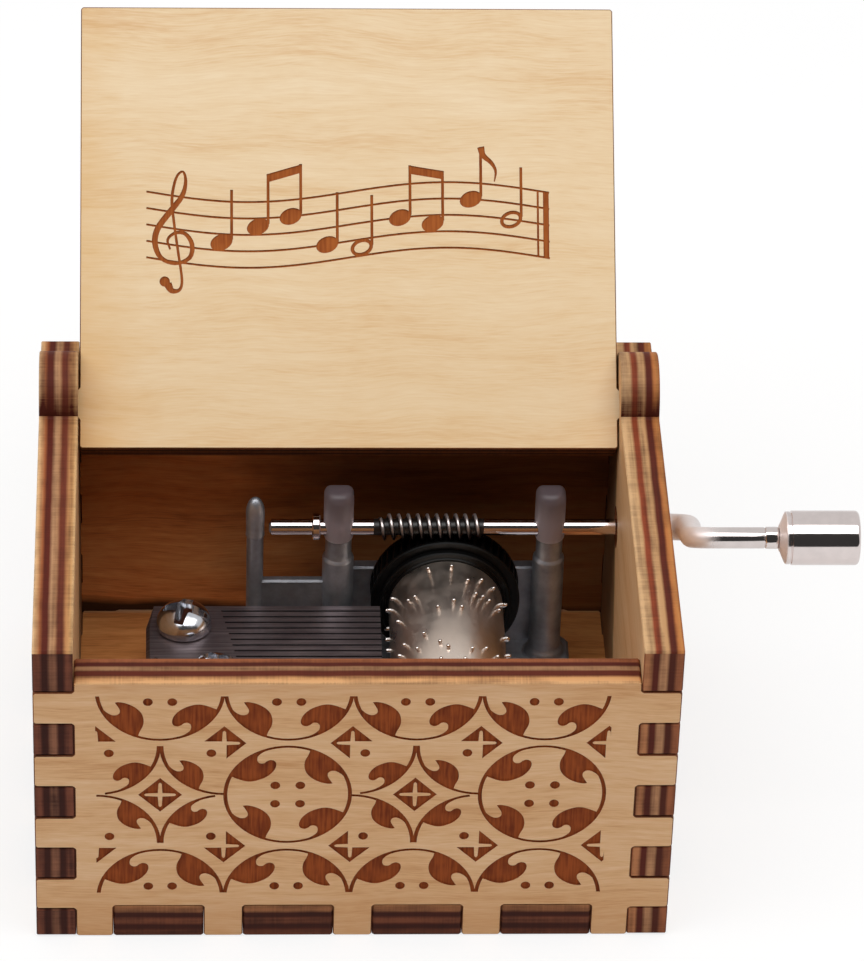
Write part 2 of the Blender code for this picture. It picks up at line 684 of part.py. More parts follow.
def cross(x, y, low, high, span, width):
    """Two crossed bars that cut a driver's recess."""
    return [
        block((x - span / 2, y - width / 2, low), (x + span / 2, y + width / 2, high)),
        block((x - width / 2, y - span / 2, low), (x + width / 2, y + span / 2, high)),
    ]


def build_comb_screw(name, x, y, steel):
    seat = COMB_TOP + SEAT_GAP
    shank = [(COMB_TOP - COMB_SCREW_LENGTH, COMB_SCREW_RADIUS), (seat, COMB_SCREW_RADIUS)]
    head = dome(seat + SCREW_RIM, SCREW_HEAD_HEIGHT - SCREW_RIM, SCREW_HEAD_RADIUS)
    profile = shank + [(seat, SCREW_HEAD_RADIUS)] + head
    screw = make(name, turned(profile, "Z", (x, y, 0)), steel, smooth=True)
    top = seat + SCREW_HEAD_HEIGHT
    bars = cross(x, y, top - RECESS_DEPTH, top + OVERRUN, RECESS_SPAN, RECESS_WIDTH)
    for index, bar in enumerate(bars):
        cut(screw, make(f"{name}_recess_{index + 1}", bar))


def build_fixing(name, x, y, steel):
    """A countersunk screw that comes up through the base into a boss of the frame."""
    head, end = FLAT_HEAD_RECESS, FLAT_HEAD_RECESS + FIXING_LENGTH
    profile = [
        (head, FLAT_HEAD_RADIUS),
        (head + FLAT_HEAD_HEIGHT, FIXING_RADIUS),
        (end - FIXING_RADIUS, FIXING_RADIUS),
        (end, FIXING_RADIUS / 2),
    ]
    screw = make(name, turned(profile, "Z", (x, y, 0)), steel, smooth=True)
    bars = cross(
        x, y, head - OVERRUN, head + FLAT_HEAD_CROSS_DEPTH, FLAT_HEAD_CROSS, FLAT_HEAD_CROSS_WIDTH
    )
    for index, bar in enumerate(bars):
        cut(screw, make(f"{name}_recess_{index + 1}", bar))


def build_bush(name, x, nylon):
    """A nylon bush that caps a column: it pegs into the column and carries the shaft."""
    low, high = NECK_TOP + SEAT_GAP, SHAFT_Z + BUSH_OVER_SHAFT
    profile = [
        (NECK_TOP - PEG_LENGTH, PEG_RADIUS),
        (low, PEG_RADIUS),
        (low, BUSH_RADIUS - BUSH_LIP),
        (low + BUSH_LIP, BUSH_RADIUS),
    ]
    profile += dome(high - BUSH_ROUNDING, BUSH_ROUNDING, BUSH_RADIUS, BUSH_RADIUS - BUSH_ROUNDING, 3)
    bush = make(name, turned(profile, "Z", (x, SHAFT_Y, 0)), nylon, smooth=True)
    reach = BUSH_RADIUS + OVERRUN
    bore = rod("X", x - reach, x + reach, SHAFT_RADIUS + RUNNING_CLEARANCE, (0, SHAFT_Y, SHAFT_Z))
    cut(bush, make(f"{name}_bore", bore))


def worm_shaft():
    """The shaft and its thread about the X axis, as one surface.

    The thread is a band of four corners (flank, crest, crest, flank) carried along a right-handed
    helix, and its last corner joins the first corner of the turn after it. The helix starts where
    a gap between two turns lies over the middle of the wheel, and the thread grows from nothing
    and fades out again over half a turn.
    """
    sides, rows = ROD_SIDES, ROD_SIDES * WORM_TURNS
    flank = (THREAD_ROOT_SHARE - THREAD_TIP_SHARE) / 2
    corners = [(0, 0), (flank, 1), (flank + THREAD_TIP_SHARE, 1), (THREAD_ROOT_SHARE, 0)]
    start = BARREL_X - (TURNS_LEFT + THREAD_ROOT_SHARE / 2 + 1 / 4) * WORM_LEAD
    shank_end = CRANK_START_X + HUB_BORE_DEPTH - SEAT_GAP
    points = []

    def ring(x, radius):
        first = len(points)
        angles = [math.tau * side / sides for side in range(sides)]
        points.extend((x, radius * math.cos(a), radius * math.sin(a)) for a in angles)
        return [*range(first, first + sides)]

    def vertex(row, corner):
        return thread + row * len(corners) + corner

    left = [ring(SHAFT_START_X, SHAFT_RADIUS - SHAFT_CHAMFER)]
    left += [ring(SHAFT_START_X + SHAFT_CHAMFER, SHAFT_RADIUS), ring(start - WORM_LEAD, SHAFT_RADIUS)]
    right = [ring(start + (WORM_TURNS + 2) * WORM_LEAD, SHAFT_RADIUS), ring(shank_end, SHAFT_RADIUS)]
    thread = len(points)
    for row in range(rows + 1):
        angle = math.tau * row / sides
        height = (WORM_TIP_RADIUS - SHAFT_RADIUS) * min(1, 2 * row / sides, 2 * (rows - row) / sides)
        for share, rise in corners:
            radius = SHAFT_RADIUS + rise * height
            x = start + (row / sides + share) * WORM_LEAD
            points.append((x, radius * math.cos(angle), radius * math.sin(angle)))

    inner_end = tuple(reversed(right[0]))
    faces = tube_faces(left)[:-1] + [face for face in tube_faces(right) if face != inner_end]
    for row in range(rows):
        for corner in range(len(corners) - 1):
            low, high = vertex(row, corner), vertex(row + 1, corner)
            faces.append((low, high, high + 1, low + 1))
    last = len(corners) - 1
    for row in range(rows - sides):
        low, high = vertex(row, last), vertex(row + 1, last)
        faces.append((low, high, vertex(row + 1 + sides, 0), vertex(row + sides, 0)))
    for side in range(sides - 1):
        faces.append((left[-1][side], left[-1][side + 1], vertex(side + 1, 0), vertex(side, 0)))
        low = vertex(rows - sides + side + 1, last)
        faces.append((low, low + len(corners), right[0][(side + 2) % sides], right[0][side + 1]))
    thread_start = [vertex(0, corner) for corner in range(len(corners))]
    thread_end = [vertex(rows, corner) for corner in reversed(range(len(corners)))]
    faces.append((left[-1][-1], left[-1][0], *thread_start, vertex(sides, 0), vertex(sides - 1, 0)))
    turn_end = [vertex(rows - sides, last), vertex(rows - sides + 1, last)]
    faces.append((*turn_end, right[0][1], right[0][0], *thread_end))
    return points, faces


def build_crank_shaft(axis, steel):
    make("crank_shaft", worm_shaft(), steel, axis, smooth=True)
    high = LEFT_COLUMN_X - BUSH_RADIUS - COLLAR_GAP
    low = high - COLLAR_WIDTH
    collar = make("thrust_collar", rod("X", low, high, COLLAR_RADIUS), steel, axis, smooth=True)
    bore = rod("X", low - OVERRUN, high + OVERRUN, SHAFT_RADIUS + PRESS_GAP)
    cut(collar, make("collar_bore", bore, parent=axis))


def crank_line():
    """The crank's centreline as (along the shaft, out along the arm, radius), with round elbows."""
    hub, grip = (OUTER_SIDE + ELBOW_FROM_WALL, 0), (OUTER_SIDE + GRIP_ELBOW_FROM_WALL, CRANK_LENGTH)
    corners = [np.array(place) for place in ((CRANK_START_X, 0), hub, grip, (CRIMP_X, CRANK_LENGTH))]
    line = [(*corners[0], HUB_RADIUS)]
    for before, corner, after in zip(corners, corners[1:], corners[2:]):
        back = (before - corner) / np.linalg.norm(before - corner)
        ahead = (after - corner) / np.linalg.norm(after - corner)
        half = math.acos(back @ ahead) / 2
        middle = corner + (back + ahead) / np.linalg.norm(back + ahead) * CRANK_BEND / math.sin(half)
        start = corner + back * CRANK_BEND / math.tan(half) - middle
        end = corner + ahead * CRANK_BEND / math.tan(half) - middle
        sweep = math.atan2(start[0] * end[1] - start[1] * end[0], start @ end)
        first = math.atan2(start[1], start[0])
        for place in arc(middle, CRANK_BEND, first, first + sweep, 6):
            share = min(1, max(0, place[1] / CRANK_LENGTH))
            line.append((*place, HUB_RADIUS + share * (GRIP_ROD_RADIUS - HUB_RADIUS)))
    line.append((*corners[-1], GRIP_ROD_RADIUS))
    line.append((*corners[-1], CRIMP_RADIUS))
    line.append((CRIMP_END_X, CRANK_LENGTH, CRIMP_RADIUS))
    return line


def crank_rod():
    """Rings square to the crank's centreline. The line lies in one plane, that of shaft and arm."""
    out = np.array([0, -math.cos(CRANK_RISE), math.sin(CRANK_RISE)])
    along = np.array([1, 0, 0])
    normal = np.cross(along, out)
    line = crank_line()
    places = np.array([(x, reach) for x, reach, _ in line])
    points, rings = [], []
    for index, (x, reach, radius) in enumerate(line):
        ahead = places[min(index + 1, len(line) - 1)] - places[max(index - 1, 0)]
        ahead /= np.linalg.norm(ahead)
        across = ahead[1] * along * -1 + ahead[0] * out
        centre = x * along + reach * out
        rings.append(range(len(points), len(points) + ROD_SIDES))
        for side in range(ROD_SIDES):
            angle = math.tau * side / ROD_SIDES
            points.append(centre + radius * (math.cos(angle) * across + math.sin(angle) * normal))
    return points, tube_faces(rings)


def build_crank_arm(axis, steel):
    arm = make("crank_arm", crank_rod(), steel, axis, smooth=True)
    grip = (0, -CRANK_LENGTH * math.cos(CRANK_RISE), CRANK_LENGTH * math.sin(CRANK_RISE))
    bore_end = CRANK_START_X + HUB_BORE_DEPTH
    bore = rod("X", CRANK_START_X - OVERRUN, bore_end, SHAFT_RADIUS + PRESS_GAP)
    pin_start = CRIMP_END_X - GRIP_PIN_DEPTH
    socket = rod("X", pin_start, CRIMP_END_X + OVERRUN, GRIP_PIN_RADIUS + PRESS_GAP, grip)
    cut(arm, make("shaft_socket", bore, parent=axis), make("pin_socket", socket, parent=axis))
    head = KNOB_END_X - COUNTERBORE_DEPTH + SEAT_GAP
    profile = [
        (pin_start + SEAT_GAP, GRIP_PIN_RADIUS),
        (head, GRIP_PIN_RADIUS),
        (head, RIVET_RADIUS),
        (head + RIVET_HEIGHT / 2, RIVET_RADIUS),
        (head + RIVET_HEIGHT, RIVET_RADIUS - RIVET_HEIGHT / 2),
    ]
    make("grip_pin", turned(profile, "X", grip), steel, axis, smooth=True)
    return grip


def build_knob(axis, steel):
    shoulder = KNOB_START_X + KNOB_NOSE + KNOB_SHOULDER
    profile = [
        (KNOB_START_X, KNOB_NOSE_RADIUS),
        (KNOB_START_X + KNOB_NOSE, KNOB_RADIUS - KNOB_SHOULDER_STEP),
        (shoulder, KNOB_RADIUS - KNOB_SHOULDER_STEP),
        (shoulder + KNOB_SHOULDER_STEP, KNOB_RADIUS),
    ]
    profile += dome(KNOB_END_X - KNOB_EDGE, KNOB_EDGE, KNOB_RADIUS, KNOB_RADIUS - KNOB_EDGE, 3)
    knob = make("crank_knob", turned(profile, "X", sides=2 * ROD_SIDES), steel, axis, smooth=True)
    bore = rod("X", KNOB_START_X - OVERRUN, KNOB_END_X + OVERRUN, GRIP_PIN_RADIUS + KNOB_BORE_GAP)
    floor = KNOB_END_X - COUNTERBORE_DEPTH
    counterbore = rod("X", floor, KNOB_END_X + OVERRUN, RIVET_RADIUS + COUNTERBORE_GAP)
    cut(knob, make("knob_bore", bore, parent=axis), make("knob_counterbore", counterbore, parent=axis))


def wheel_rim():
    """The wheel's toothed rim about the Y axis. Its teeth lean with the worm's thread."""
    lean = WHEEL_WIDTH * WORM_LEAD / (math.tau * WORM_PITCH_RADIUS) / WHEEL_PITCH_RADIUS
    root = WHEEL_PITCH_RADIUS - TOOTH_DEDENDUM
    tip_half, root_half = TOOTH_TIP_SHARE / 2, TOOTH_ROOT_SHARE / 2
    corners = [(-root_half, root), (-tip_half, WHEEL_TIP_RADIUS), (tip_half, WHEEL_TIP_RADIUS)]
    corners.append((root_half, root))
    points, rings = [], []
    for y, turn in ((WHEEL_FRONT, -lean / 2), (WHEEL_BACK, lean / 2)):
        rings.append(range(len(points), len(points) + WHEEL_TEETH * len(corners)))
        for tooth in range(WHEEL_TEETH):
            for share, radius in corners:
                angle = math.tau * (tooth + share) / WHEEL_TEETH + turn
                points.append((radius * math.sin(angle), y, radius * math.cos(angle)))
    return points, tube_faces(rings)


def barrel_pins():
    """Tapered pins on eighteen tracks, one under the middle of each tooth of the comb.

    The tune is generic: each beat sounds one note of a run up and down the comb, and every other
    beat adds a second note below it.
    """
    notes = [(beat, (7 * beat + beat * beat // 5) % COMB_TEETH) for beat in range(BEATS)]
    notes += [(beat, (track + COMB_TEETH // 3) % COMB_TEETH) for beat, track in notes[::2]]
    notes += [(beat, (track + COMB_TEETH // 2) % COMB_TEETH) for beat, track in notes[1:BEATS:3]]
    foot = BARREL_RADIUS - PIN_ROOT
    pins = []
    for beat, track in notes:
        turn = math.tau * (beat + 1 / 2) / BEATS
        y = COMB_BACK - track * TOOTH_PITCH - (TOOTH_PITCH - SLOT_WIDTH) / 2
        out = np.array([math.sin(turn), 0, math.cos(turn)])
        side = np.array([math.cos(turn), 0, -math.sin(turn)])
        along = np.array([0, 1, 0])
        points = []
        for height, radius in ((foot, PIN_RADIUS), (PIN_TIP_RADIUS, PIN_RADIUS * PIN_TIP_SHARE)):
            for corner in range(PIN_SIDES):
                angle = math.tau * corner / PIN_SIDES
                offset = math.cos(angle) * along + math.sin(angle) * side
                points.append(height * out + radius * offset + y * along)
        pins.append((points, tube_faces([range(PIN_SIDES), range(PIN_SIDES, 2 * PIN_SIDES)])))
    return together(pins)


def build_barrel(axis, nickel, plastic, steel):
    barrel_end = BARREL_BACK - SEAT_GAP
    wheel = make("worm_wheel", wheel_rim(), plastic, axis)
    boss = rod("Y", BARREL_BACK, WHEEL_FRONT + BURIED, WHEEL_BOSS_RADIUS, sides=BARREL_SIDES)
    weld(wheel, make("wheel_boss", boss, parent=axis))
    barrel = rod("Y", BARREL_FRONT, barrel_end, BARREL_RADIUS, sides=BARREL_SIDES)
    barrel = make("pin_barrel", barrel, nickel, axis, smooth=True)
    weld(barrel, make("barrel_pins", barrel_pins(), parent=axis))
    cap_radius = BARREL_RADIUS - END_CAP_INSET
    cap = rod("Y", CAP_FRONT, BARREL_FRONT - SEAT_GAP, cap_radius, sides=BARREL_SIDES)
    cap = make("barrel_end_cap", cap, nickel, axis, smooth=True)
    clip_front = CLIP_BACK - CLIP_THICKNESS
    clip = make("arbor_clip", rod("Y", clip_front, CLIP_BACK, CLIP_RADIUS), steel, axis, smooth=True)
    low, high = clip_front - ARBOR_END, REAR_WALL_BACK + ARBOR_END
    make("barrel_arbor", rod("Y", low, high, ARBOR_RADIUS), steel, axis, smooth=True)
    bore = make("arbor_bore", rod("Y", low, high, ARBOR_RADIUS + PRESS_GAP), parent=axis)
    for piece in (wheel, barrel, cap, clip):
        cut(piece, bore)


def main():
    clear_scene()
    ply = surface("birch plywood", (0.68, 0.47, 0.26), 0.6)
    zinc = surface("die-cast zinc", (0.2, 0.22, 0.25), 0.45, 0.8)
    comb_steel = surface("comb steel", (0.12, 0.115, 0.125), 0.4, 0.9)
    bright_steel = surface("nickel-plated steel", (0.72, 0.7, 0.68), 0.15, 1.0)
    lead = surface("lead", (0.25, 0.25, 0.27), 0.6, 0.8)
    nylon = surface("nylon", (0.3, 0.26, 0.29), 0.4)
    plastic = surface("black acetal", (0.012, 0.012, 0.014), 0.35)
    build_box(ply)
    build_lid(ply)
    build_frame(zinc)
    build_comb(comb_steel, lead)
    build_comb_screw("comb_screw_rear", *REAR_SCREW, bright_steel)
    build_comb_screw("comb_screw_front", *FRONT_SCREW, bright_steel)
    build_bush("shaft_bush_left", LEFT_COLUMN_X, nylon)
    build_bush("shaft_bush_right", RIGHT_COLUMN_X, nylon)
    for label, (x, y) in zip(("left", "right", "front"), FIXINGS):
        build_fixing(f"movement_screw_{label}", x, y, bright_steel)
    barrel_axis = axis_empty("barrel_axis", (BARREL_X, 0, BARREL_Z))
    build_barrel(barrel_axis, bright_steel, plastic, bright_steel)
    crank_axis = axis_empty("crank_axis", (0, SHAFT_Y, SHAFT_Z))
    build_crank_shaft(crank_axis, bright_steel)
    grip = build_crank_arm(crank_axis, bright_steel)
    build_knob(axis_empty("knob_axis", grip, crank_axis), bright_steel)


main()
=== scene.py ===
import math

import bmesh
import bpy
import numpy as np
from mathutils import Matrix, Vector, geometry


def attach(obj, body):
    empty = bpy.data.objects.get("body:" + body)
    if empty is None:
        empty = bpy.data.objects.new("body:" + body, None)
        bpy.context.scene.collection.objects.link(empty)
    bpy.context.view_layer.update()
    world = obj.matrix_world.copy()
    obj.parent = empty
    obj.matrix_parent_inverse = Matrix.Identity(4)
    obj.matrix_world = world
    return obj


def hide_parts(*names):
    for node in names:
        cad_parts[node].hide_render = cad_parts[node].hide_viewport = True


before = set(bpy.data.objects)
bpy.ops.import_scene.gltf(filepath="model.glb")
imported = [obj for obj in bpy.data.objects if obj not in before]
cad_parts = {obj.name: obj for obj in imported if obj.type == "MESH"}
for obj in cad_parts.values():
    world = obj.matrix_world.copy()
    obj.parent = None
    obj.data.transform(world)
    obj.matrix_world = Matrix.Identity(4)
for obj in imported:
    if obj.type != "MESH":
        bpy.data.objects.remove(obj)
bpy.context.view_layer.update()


# Base panel
# Birch plywood, five plies, cut by laser, so its edges are charred and its corners a little round.
# Its tabs pass through the walls and hold them, and three countersunk holes take the movement's screws.
MM = 0.001
PLY = 4.0
HALF_WIDTH, HALF_DEPTH = 32.0, 26.0
KERF = 0.03
CORNER = 0.25
TAB, TAB_PITCH = 9.1, 13.1
TABS_ACROSS = [(low, low + TAB) for low in (-24.2 + TAB_PITCH * index for index in range(4))]
TABS_DEEP = [(low, low + TAB) for low in (-17.65 + TAB_PITCH * index for index in range(3))]
SCREW_HOLE = 1.3
FIXINGS = {"left": (-0.96, 10.7), "right": (21.1, 10.7), "front": (-17.0, -9.24)}


def colour(code):
    """An sRGB hex colour as linear red, green, blue and alpha, by the sRGB curve."""
    shown = np.array([int(code[i:i + 2], 16) for i in (1, 3, 5)]) / 255
    linear = np.where(shown <= 0.04045, shown / 12.92, ((shown + 0.055) / 1.055) ** 2.4)
    return (*linear.tolist(), 1.0)


def add(tree, kind, inputs={}, stops=None, **settings):
    """Adds a node. Inputs are values or sockets to link, by name or number; stops fill a colour ramp."""
    node = tree.nodes.new(kind)
    for name, value in settings.items():
        setattr(node, name, value)
    for key, value in inputs.items():
        if isinstance(value, bpy.types.NodeSocket):
            tree.links.new(value, node.inputs[key])
        else:
            node.inputs[key].default_value = value
    for index, (place, shade) in enumerate(stops or []):
        elements = node.color_ramp.elements
        stop = elements[index] if index < 2 else elements.new(place)
        stop.position, stop.color = place, colour(shade)
    return node


def finish(name, **values):
    """A new Principled material, its node tree and its shader, with plain values on the shader."""
    material = bpy.data.materials.new(name)
    material.use_nodes = True
    tree = material.node_tree
    shader = tree.nodes["Principled BSDF"]
    for key, value in values.items():
        shader.inputs[key.replace("_", " ")].default_value = value
    return material, tree, shader


def rounded(outline, radius, steps=3, closed=True):
    """Each corner becomes an arc that touches both its edges.

    With h half the corner's angle, the arc's middle lies radius / sin h from the corner along the
    bisector, and the arc turns from one edge's foot to the other's.
    """
    line = np.asarray(outline, float)
    corner = line if closed else line[1:-1]
    before = np.roll(line, 1, 0) - line if closed else line[:-2] - corner
    after = np.roll(line, -1, 0) - line if closed else line[2:] - corner
    before_length = np.linalg.norm(before, axis=1, keepdims=True)
    after_length = np.linalg.norm(after, axis=1, keepdims=True)
    before, after = before / before_length, after / after_length
    half = np.arccos(np.clip((before * after).sum(1, keepdims=True), -1, 1)) / 2
    reach = np.minimum(radius / np.tan(half), 0.45 * np.minimum(before_length, after_length))
    start, end = corner + before * reach, corner + after * reach
    share = np.linspace(0, 1, steps + 1)[:, None, None]
    straight = start * (1 - share) + end * share
    pull = 4 * share * (1 - share) * (1 - np.sin(half)) / 2
    curve = straight + (corner - (start + end) / 2) * pull
    points = curve.transpose(1, 0, 2).reshape(-1, 2)
    return points if closed else np.concatenate([line[:1], points, line[-1:]])


def offset(loop, distance):
    """Moves a closed outline to its left: along both edges' left normals over one plus their cosine."""
    ahead = np.roll(loop, -1, 0) - loop
    ahead /= np.linalg.norm(ahead, axis=1, keepdims=True)
    normal = np.stack([-ahead[:, 1], ahead[:, 0]], 1)
    before = np.roll(normal, 1, 0)
    return loop + distance * (before + normal) / (1 + (before * normal).sum(1, keepdims=True))


def disc(centre, radius, sides=32, turn=1):
    """Points of a circle, counter-clockwise for turn 1 and clockwise, as a hole is drawn, for -1."""
    angles = turn * math.tau * np.arange(sides) / sides
    return np.array(centre) + radius * np.stack([np.cos(angles), np.sin(angles)], 1)


def counter_clockwise(loop):
    """The loop as it is, or the other way round where the area it encloses comes out negative."""
    after = np.roll(loop, -1, 0)
    area = (loop[:, 0] * after[:, 1] - loop[:, 1] * after[:, 0]).sum()
    return loop if area > 0 else loop[::-1]


def triangles(outline, holes=(), marks=(), window=None, guides=()):
    """Cuts a face into triangles by constrained Delaunay, and tells which of them a mark covers.

    The outline, holes, marks, window and guides are all drawn into the face. Triangles in a hole are
    left out. A marked triangle lies in any mark and, where there is a window, in it too.
    """
    loops = [outline, *holes, *([] if window is None else [window]), *guides, *marks]
    first_mark = len(loops) - len(marks)
    loops = [counter_clockwise(np.asarray(loop, float)) for loop in loops]
    starts = np.cumsum([0, *map(len, loops)])
    polygons = [list(range(low, high)) for low, high in zip(starts, starts[1:])]
    corners = [Vector(corner) for corner in np.concatenate(loops)]
    points, _, faces, _, _, owners = geometry.delaunay_2d_cdt(corners, [], polygons, 1, 1e-5)
    hole_numbers = set(range(1, 1 + len(holes)))
    kept = [0 in owner and not hole_numbers & set(owner) for owner in owners]
    inside = 1 + len(holes)
    marked = [
        max(owner) >= first_mark and (window is None or inside in owner) if owner else False
        for owner in owners
    ]
    faces = np.array([face for face, keep in zip(faces, kept) if keep])
    return np.array([tuple(point) for point in points]), faces, np.array(marked)[kept]


def relief(points, faces, marked, height, depth, taper=1.0):
    """A triangulated face with its marked triangles sunk, and upright walls round them.

    A point of the face is (u, v, height), and its sunk twin is (taper u, taper v, height + depth).
    A wall stands on each edge that a marked triangle shares with an unmarked one.
    """
    count = len(points)
    level = np.broadcast_to(height, count)[:, None]
    sunk = np.concatenate([points * taper, level + depth], 1)
    places = np.concatenate([np.concatenate([points, level], 1), sunk])
    edges = np.stack([faces, np.roll(faces, -1, 1)], -1)
    low, high = edges[marked].reshape(-1, 2), edges[~marked].reshape(-1, 2)
    rim = low[np.isin(low[:, 0] * count + low[:, 1], high[:, 1] * count + high[:, 0])]
    walls = np.stack([rim[:, 0], rim[:, 1], rim[:, 1] + count, rim[:, 0] + count], 1)
    top = np.where(marked[:, None], faces + count, faces)
    top = np.concatenate([top, np.full((len(top), 1), -1)], 1)
    kinds = np.concatenate([np.where(marked, 2, 0), np.full(len(walls), 2)])
    return places, np.concatenate([top, walls]), kinds


def sheet(outline, thickness, holes=(), marks=(), window=None, depth=0.0, bevel=0.1,
          edge_kind=lambda u, v: 1, rows=None, hole_rows=None):
    """A flat piece as (u, v, w) points, w going down from its front face, with its marks sunk.

    The outline is carried through the thickness as rows, each drawn in by its first number at its
    second number's depth, and both faces are triangles between the first or last rows. The edge's
    UV map is (length along the outline, depth), and a face's is (u, v). Kinds are 0 for the front
    face, 2 for a mark, 4 for the back face, and what edge_kind gives at (u, v) for the edge.
    """
    plain = [(bevel, 0.0), (0.0, bevel), (0.0, thickness - bevel), (bevel, thickness)]
    loops = [(counter_clockwise(np.asarray(outline, float)), rows or plain)]
    loops += [(counter_clockwise(np.asarray(hole, float))[::-1], hole_rows or plain) for hole in holes]
    parts = []
    for end in (0, -1):
        drawn = [offset(loop, loop_rows[end][0]) for loop, loop_rows in loops]
        front = end == 0
        points, faces, marked = triangles(
            drawn[0], drawn[1:], marks if front else (), window if front else None)
        if front:
            places, faces, kinds = relief(points, faces, marked, 0.0, depth)
        else:
            places = np.concatenate([points, np.full((len(points), 1), thickness)], 1)
            faces = np.concatenate([faces[:, ::-1], np.full((len(faces), 1), -1)], 1)
            kinds = np.full(len(faces), 4)
        parts.append((places, faces, kinds, places[faces][..., :2]))
    for loop, loop_rows in loops:
        count = len(loop)
        ring = np.stack([offset(loop, drawn_in) for drawn_in, _ in loop_rows])
        level = np.array([deep for _, deep in loop_rows])
        places = np.concatenate(
            [ring, np.broadcast_to(level[:, None, None], (len(level), count, 1))], 2).reshape(-1, 3)
        row, side = np.meshgrid(np.arange(len(level) - 1), np.arange(count), indexing="ij")
        after = (side + 1) % count
        near, far = row * count, (row + 1) * count
        faces = np.stack([near + side, far + side, far + after, near + after], -1).reshape(-1, 4)
        length = np.linalg.norm(np.roll(loop, -1, 0) - loop, axis=1)
        along = np.concatenate([[0], np.cumsum(length)])
        start, end = along[side], along[side + 1]
        uv = np.stack([np.stack([start, level[row]], -1), np.stack([start, level[row + 1]], -1),
                       np.stack([end, level[row + 1]], -1), np.stack([end, level[row]], -1)], -2)
        middle = (loop + np.roll(loop, -1, 0)) / 2
        kinds = np.broadcast_to(edge_kind(middle[:, 0], middle[:, 1]), row.shape).reshape(-1)
        parts.append((places, faces, kinds, uv.reshape(-1, 4, 2)))
    return together(parts)


def together(parts):
    """Several (points, faces, kinds, UV) groups as one, each group's faces moved past the last's."""
    starts = np.cumsum([0] + [len(part[0]) for part in parts])
    faces = [np.where(part[1] < 0, -1, part[1] + start) for part, start in zip(parts, starts)]
    return (np.concatenate([part[0] for part in parts]), np.concatenate(faces),
            np.concatenate([part[2] for part in parts]), np.concatenate([part[3] for part in parts]))


def placed(shape, place):
    """The same shape with its points moved by a function of three whole columns."""
    points, faces, kinds, uv = shape
    return np.stack(place(*points.T), 1), faces, kinds, uv


def put(name, shape, materials, smooth=30.0):
    """Makes the object. Its points are welded, its faces point outwards, and it stays at the origin."""
    points, faces, kinds, uv = shape
    mesh = bpy.data.meshes.new(name)
    real = faces >= 0
    corners = [face[:3] if face[3] < 0 else face for face in faces.tolist()]
    mesh.from_pydata((points * MM).tolist(), [], corners)
    mesh.uv_layers.new(name="UVMap").data.foreach_set("uv", uv[real].ravel())
    for material in materials:
        mesh.materials.append(material)
    mesh.polygons.foreach_set("material_index", np.minimum(kinds, len(materials) - 1))
    solid = bmesh.new()
    solid.from_mesh(mesh)
    bmesh.ops.remove_doubles(solid, verts=solid.verts, dist=1e-6)
    bmesh.ops.recalc_face_normals(solid, faces=solid.faces)
    solid.to_mesh(mesh)
    solid.free()
    mesh.shade_smooth()
    mesh.set_sharp_from_angle(angle=math.radians(smooth))
    piece = bpy.data.objects.new(name, mesh)
    bpy.context.scene.collection.objects.link(piece)
    return piece


# Sanded birch veneer: soft streaks along the grain and fine fibres, over broad warm patches. The tones stay
# close together, as on a real sheet. The UV map is in millimetres. Each tint is a colour laid over the
# wood, for scorching, painted shade or a painted highlight: full at one place along a direction in the UV
# map, and gone with a ragged end at another.
def veneer(name, pale, main, streak, roughness=0.5, tints=()):
    material, tree, shader = finish(name, Roughness=roughness, Specular_IOR_Level=0.3)
    place = add(tree, "ShaderNodeTexCoord").outputs["UV"]
    sway = add(tree, "ShaderNodeTexNoise", {"Vector": place, "Scale": 0.06, "Detail": 1.0})
    swayed = add(tree, "ShaderNodeVectorMath", {0: sway.outputs["Color"], 1: (3.0, 3.0, 0.0), 2: place},
                 operation="MULTIPLY_ADD").outputs[0]
    mixed = None
    # Patches, streaks and fibres: each is a noise about a half, so the start takes off half their weights.
    layers = (((0.02, 0.16, 1), 2, 0.9), ((0.1, 1.3, 1), 4, 0.65), ((0.45, 6.0, 1), 3, 0.6))
    start = 0.5 - sum(weight for _, _, weight in layers) / 2
    for scale, detail, weight in layers:
        noise = add(tree, "ShaderNodeMapping", {"Vector": swayed, "Scale": scale})
        noise = add(tree, "ShaderNodeTexNoise", {
            "Vector": noise.outputs[0], "Scale": 1.0, "Detail": detail})
        mixed = add(tree, "ShaderNodeMath", {
            0: noise.outputs[0], 1: weight, 2: mixed.outputs[0] if mixed else start},
            operation="MULTIPLY_ADD")
    shade = add(tree, "ShaderNodeValToRGB", {"Fac": mixed.outputs[0]},
                stops=[(0.25, pale), (0.52, main), (0.85, streak)])
    shown = shade.outputs[0]
    ragged = add(tree, "ShaderNodeMapping", {"Vector": place, "Scale": (0.12, 0.3, 1)})
    ragged = add(tree, "ShaderNodeTexNoise", {"Vector": ragged.outputs[0], "Scale": 1.0, "Detail": 4.0})
    for direction, full, gone, tint, strength in tints:
        reach = add(tree, "ShaderNodeVectorMath", {0: place, 1: (*direction, 0)}, operation="DOT_PRODUCT")
        fade = full - gone
        reach = add(tree, "ShaderNodeMath", {0: ragged.outputs[0], 1: fade, 2: reach.outputs["Value"]},
                    operation="MULTIPLY_ADD")
        share = add(tree, "ShaderNodeMapRange", {
            "Value": reach.outputs[0], "From Min": full + fade / 2, "From Max": gone + fade / 2,
            "To Min": strength, "To Max": 0.0})
        shown = add(tree, "ShaderNodeMix", {0: share.outputs[0], 6: shown, 7: colour(tint)},
                    data_type="RGBA").outputs[2]
    tree.links.new(shown, shader.inputs["Base Color"])
    bump = add(tree, "ShaderNodeBump", {
        "Height": noise.outputs[0], "Strength": 0.15, "Distance": 0.04 * MM})
    tree.links.new(bump.outputs[0], shader.inputs["Normal"])
    return material


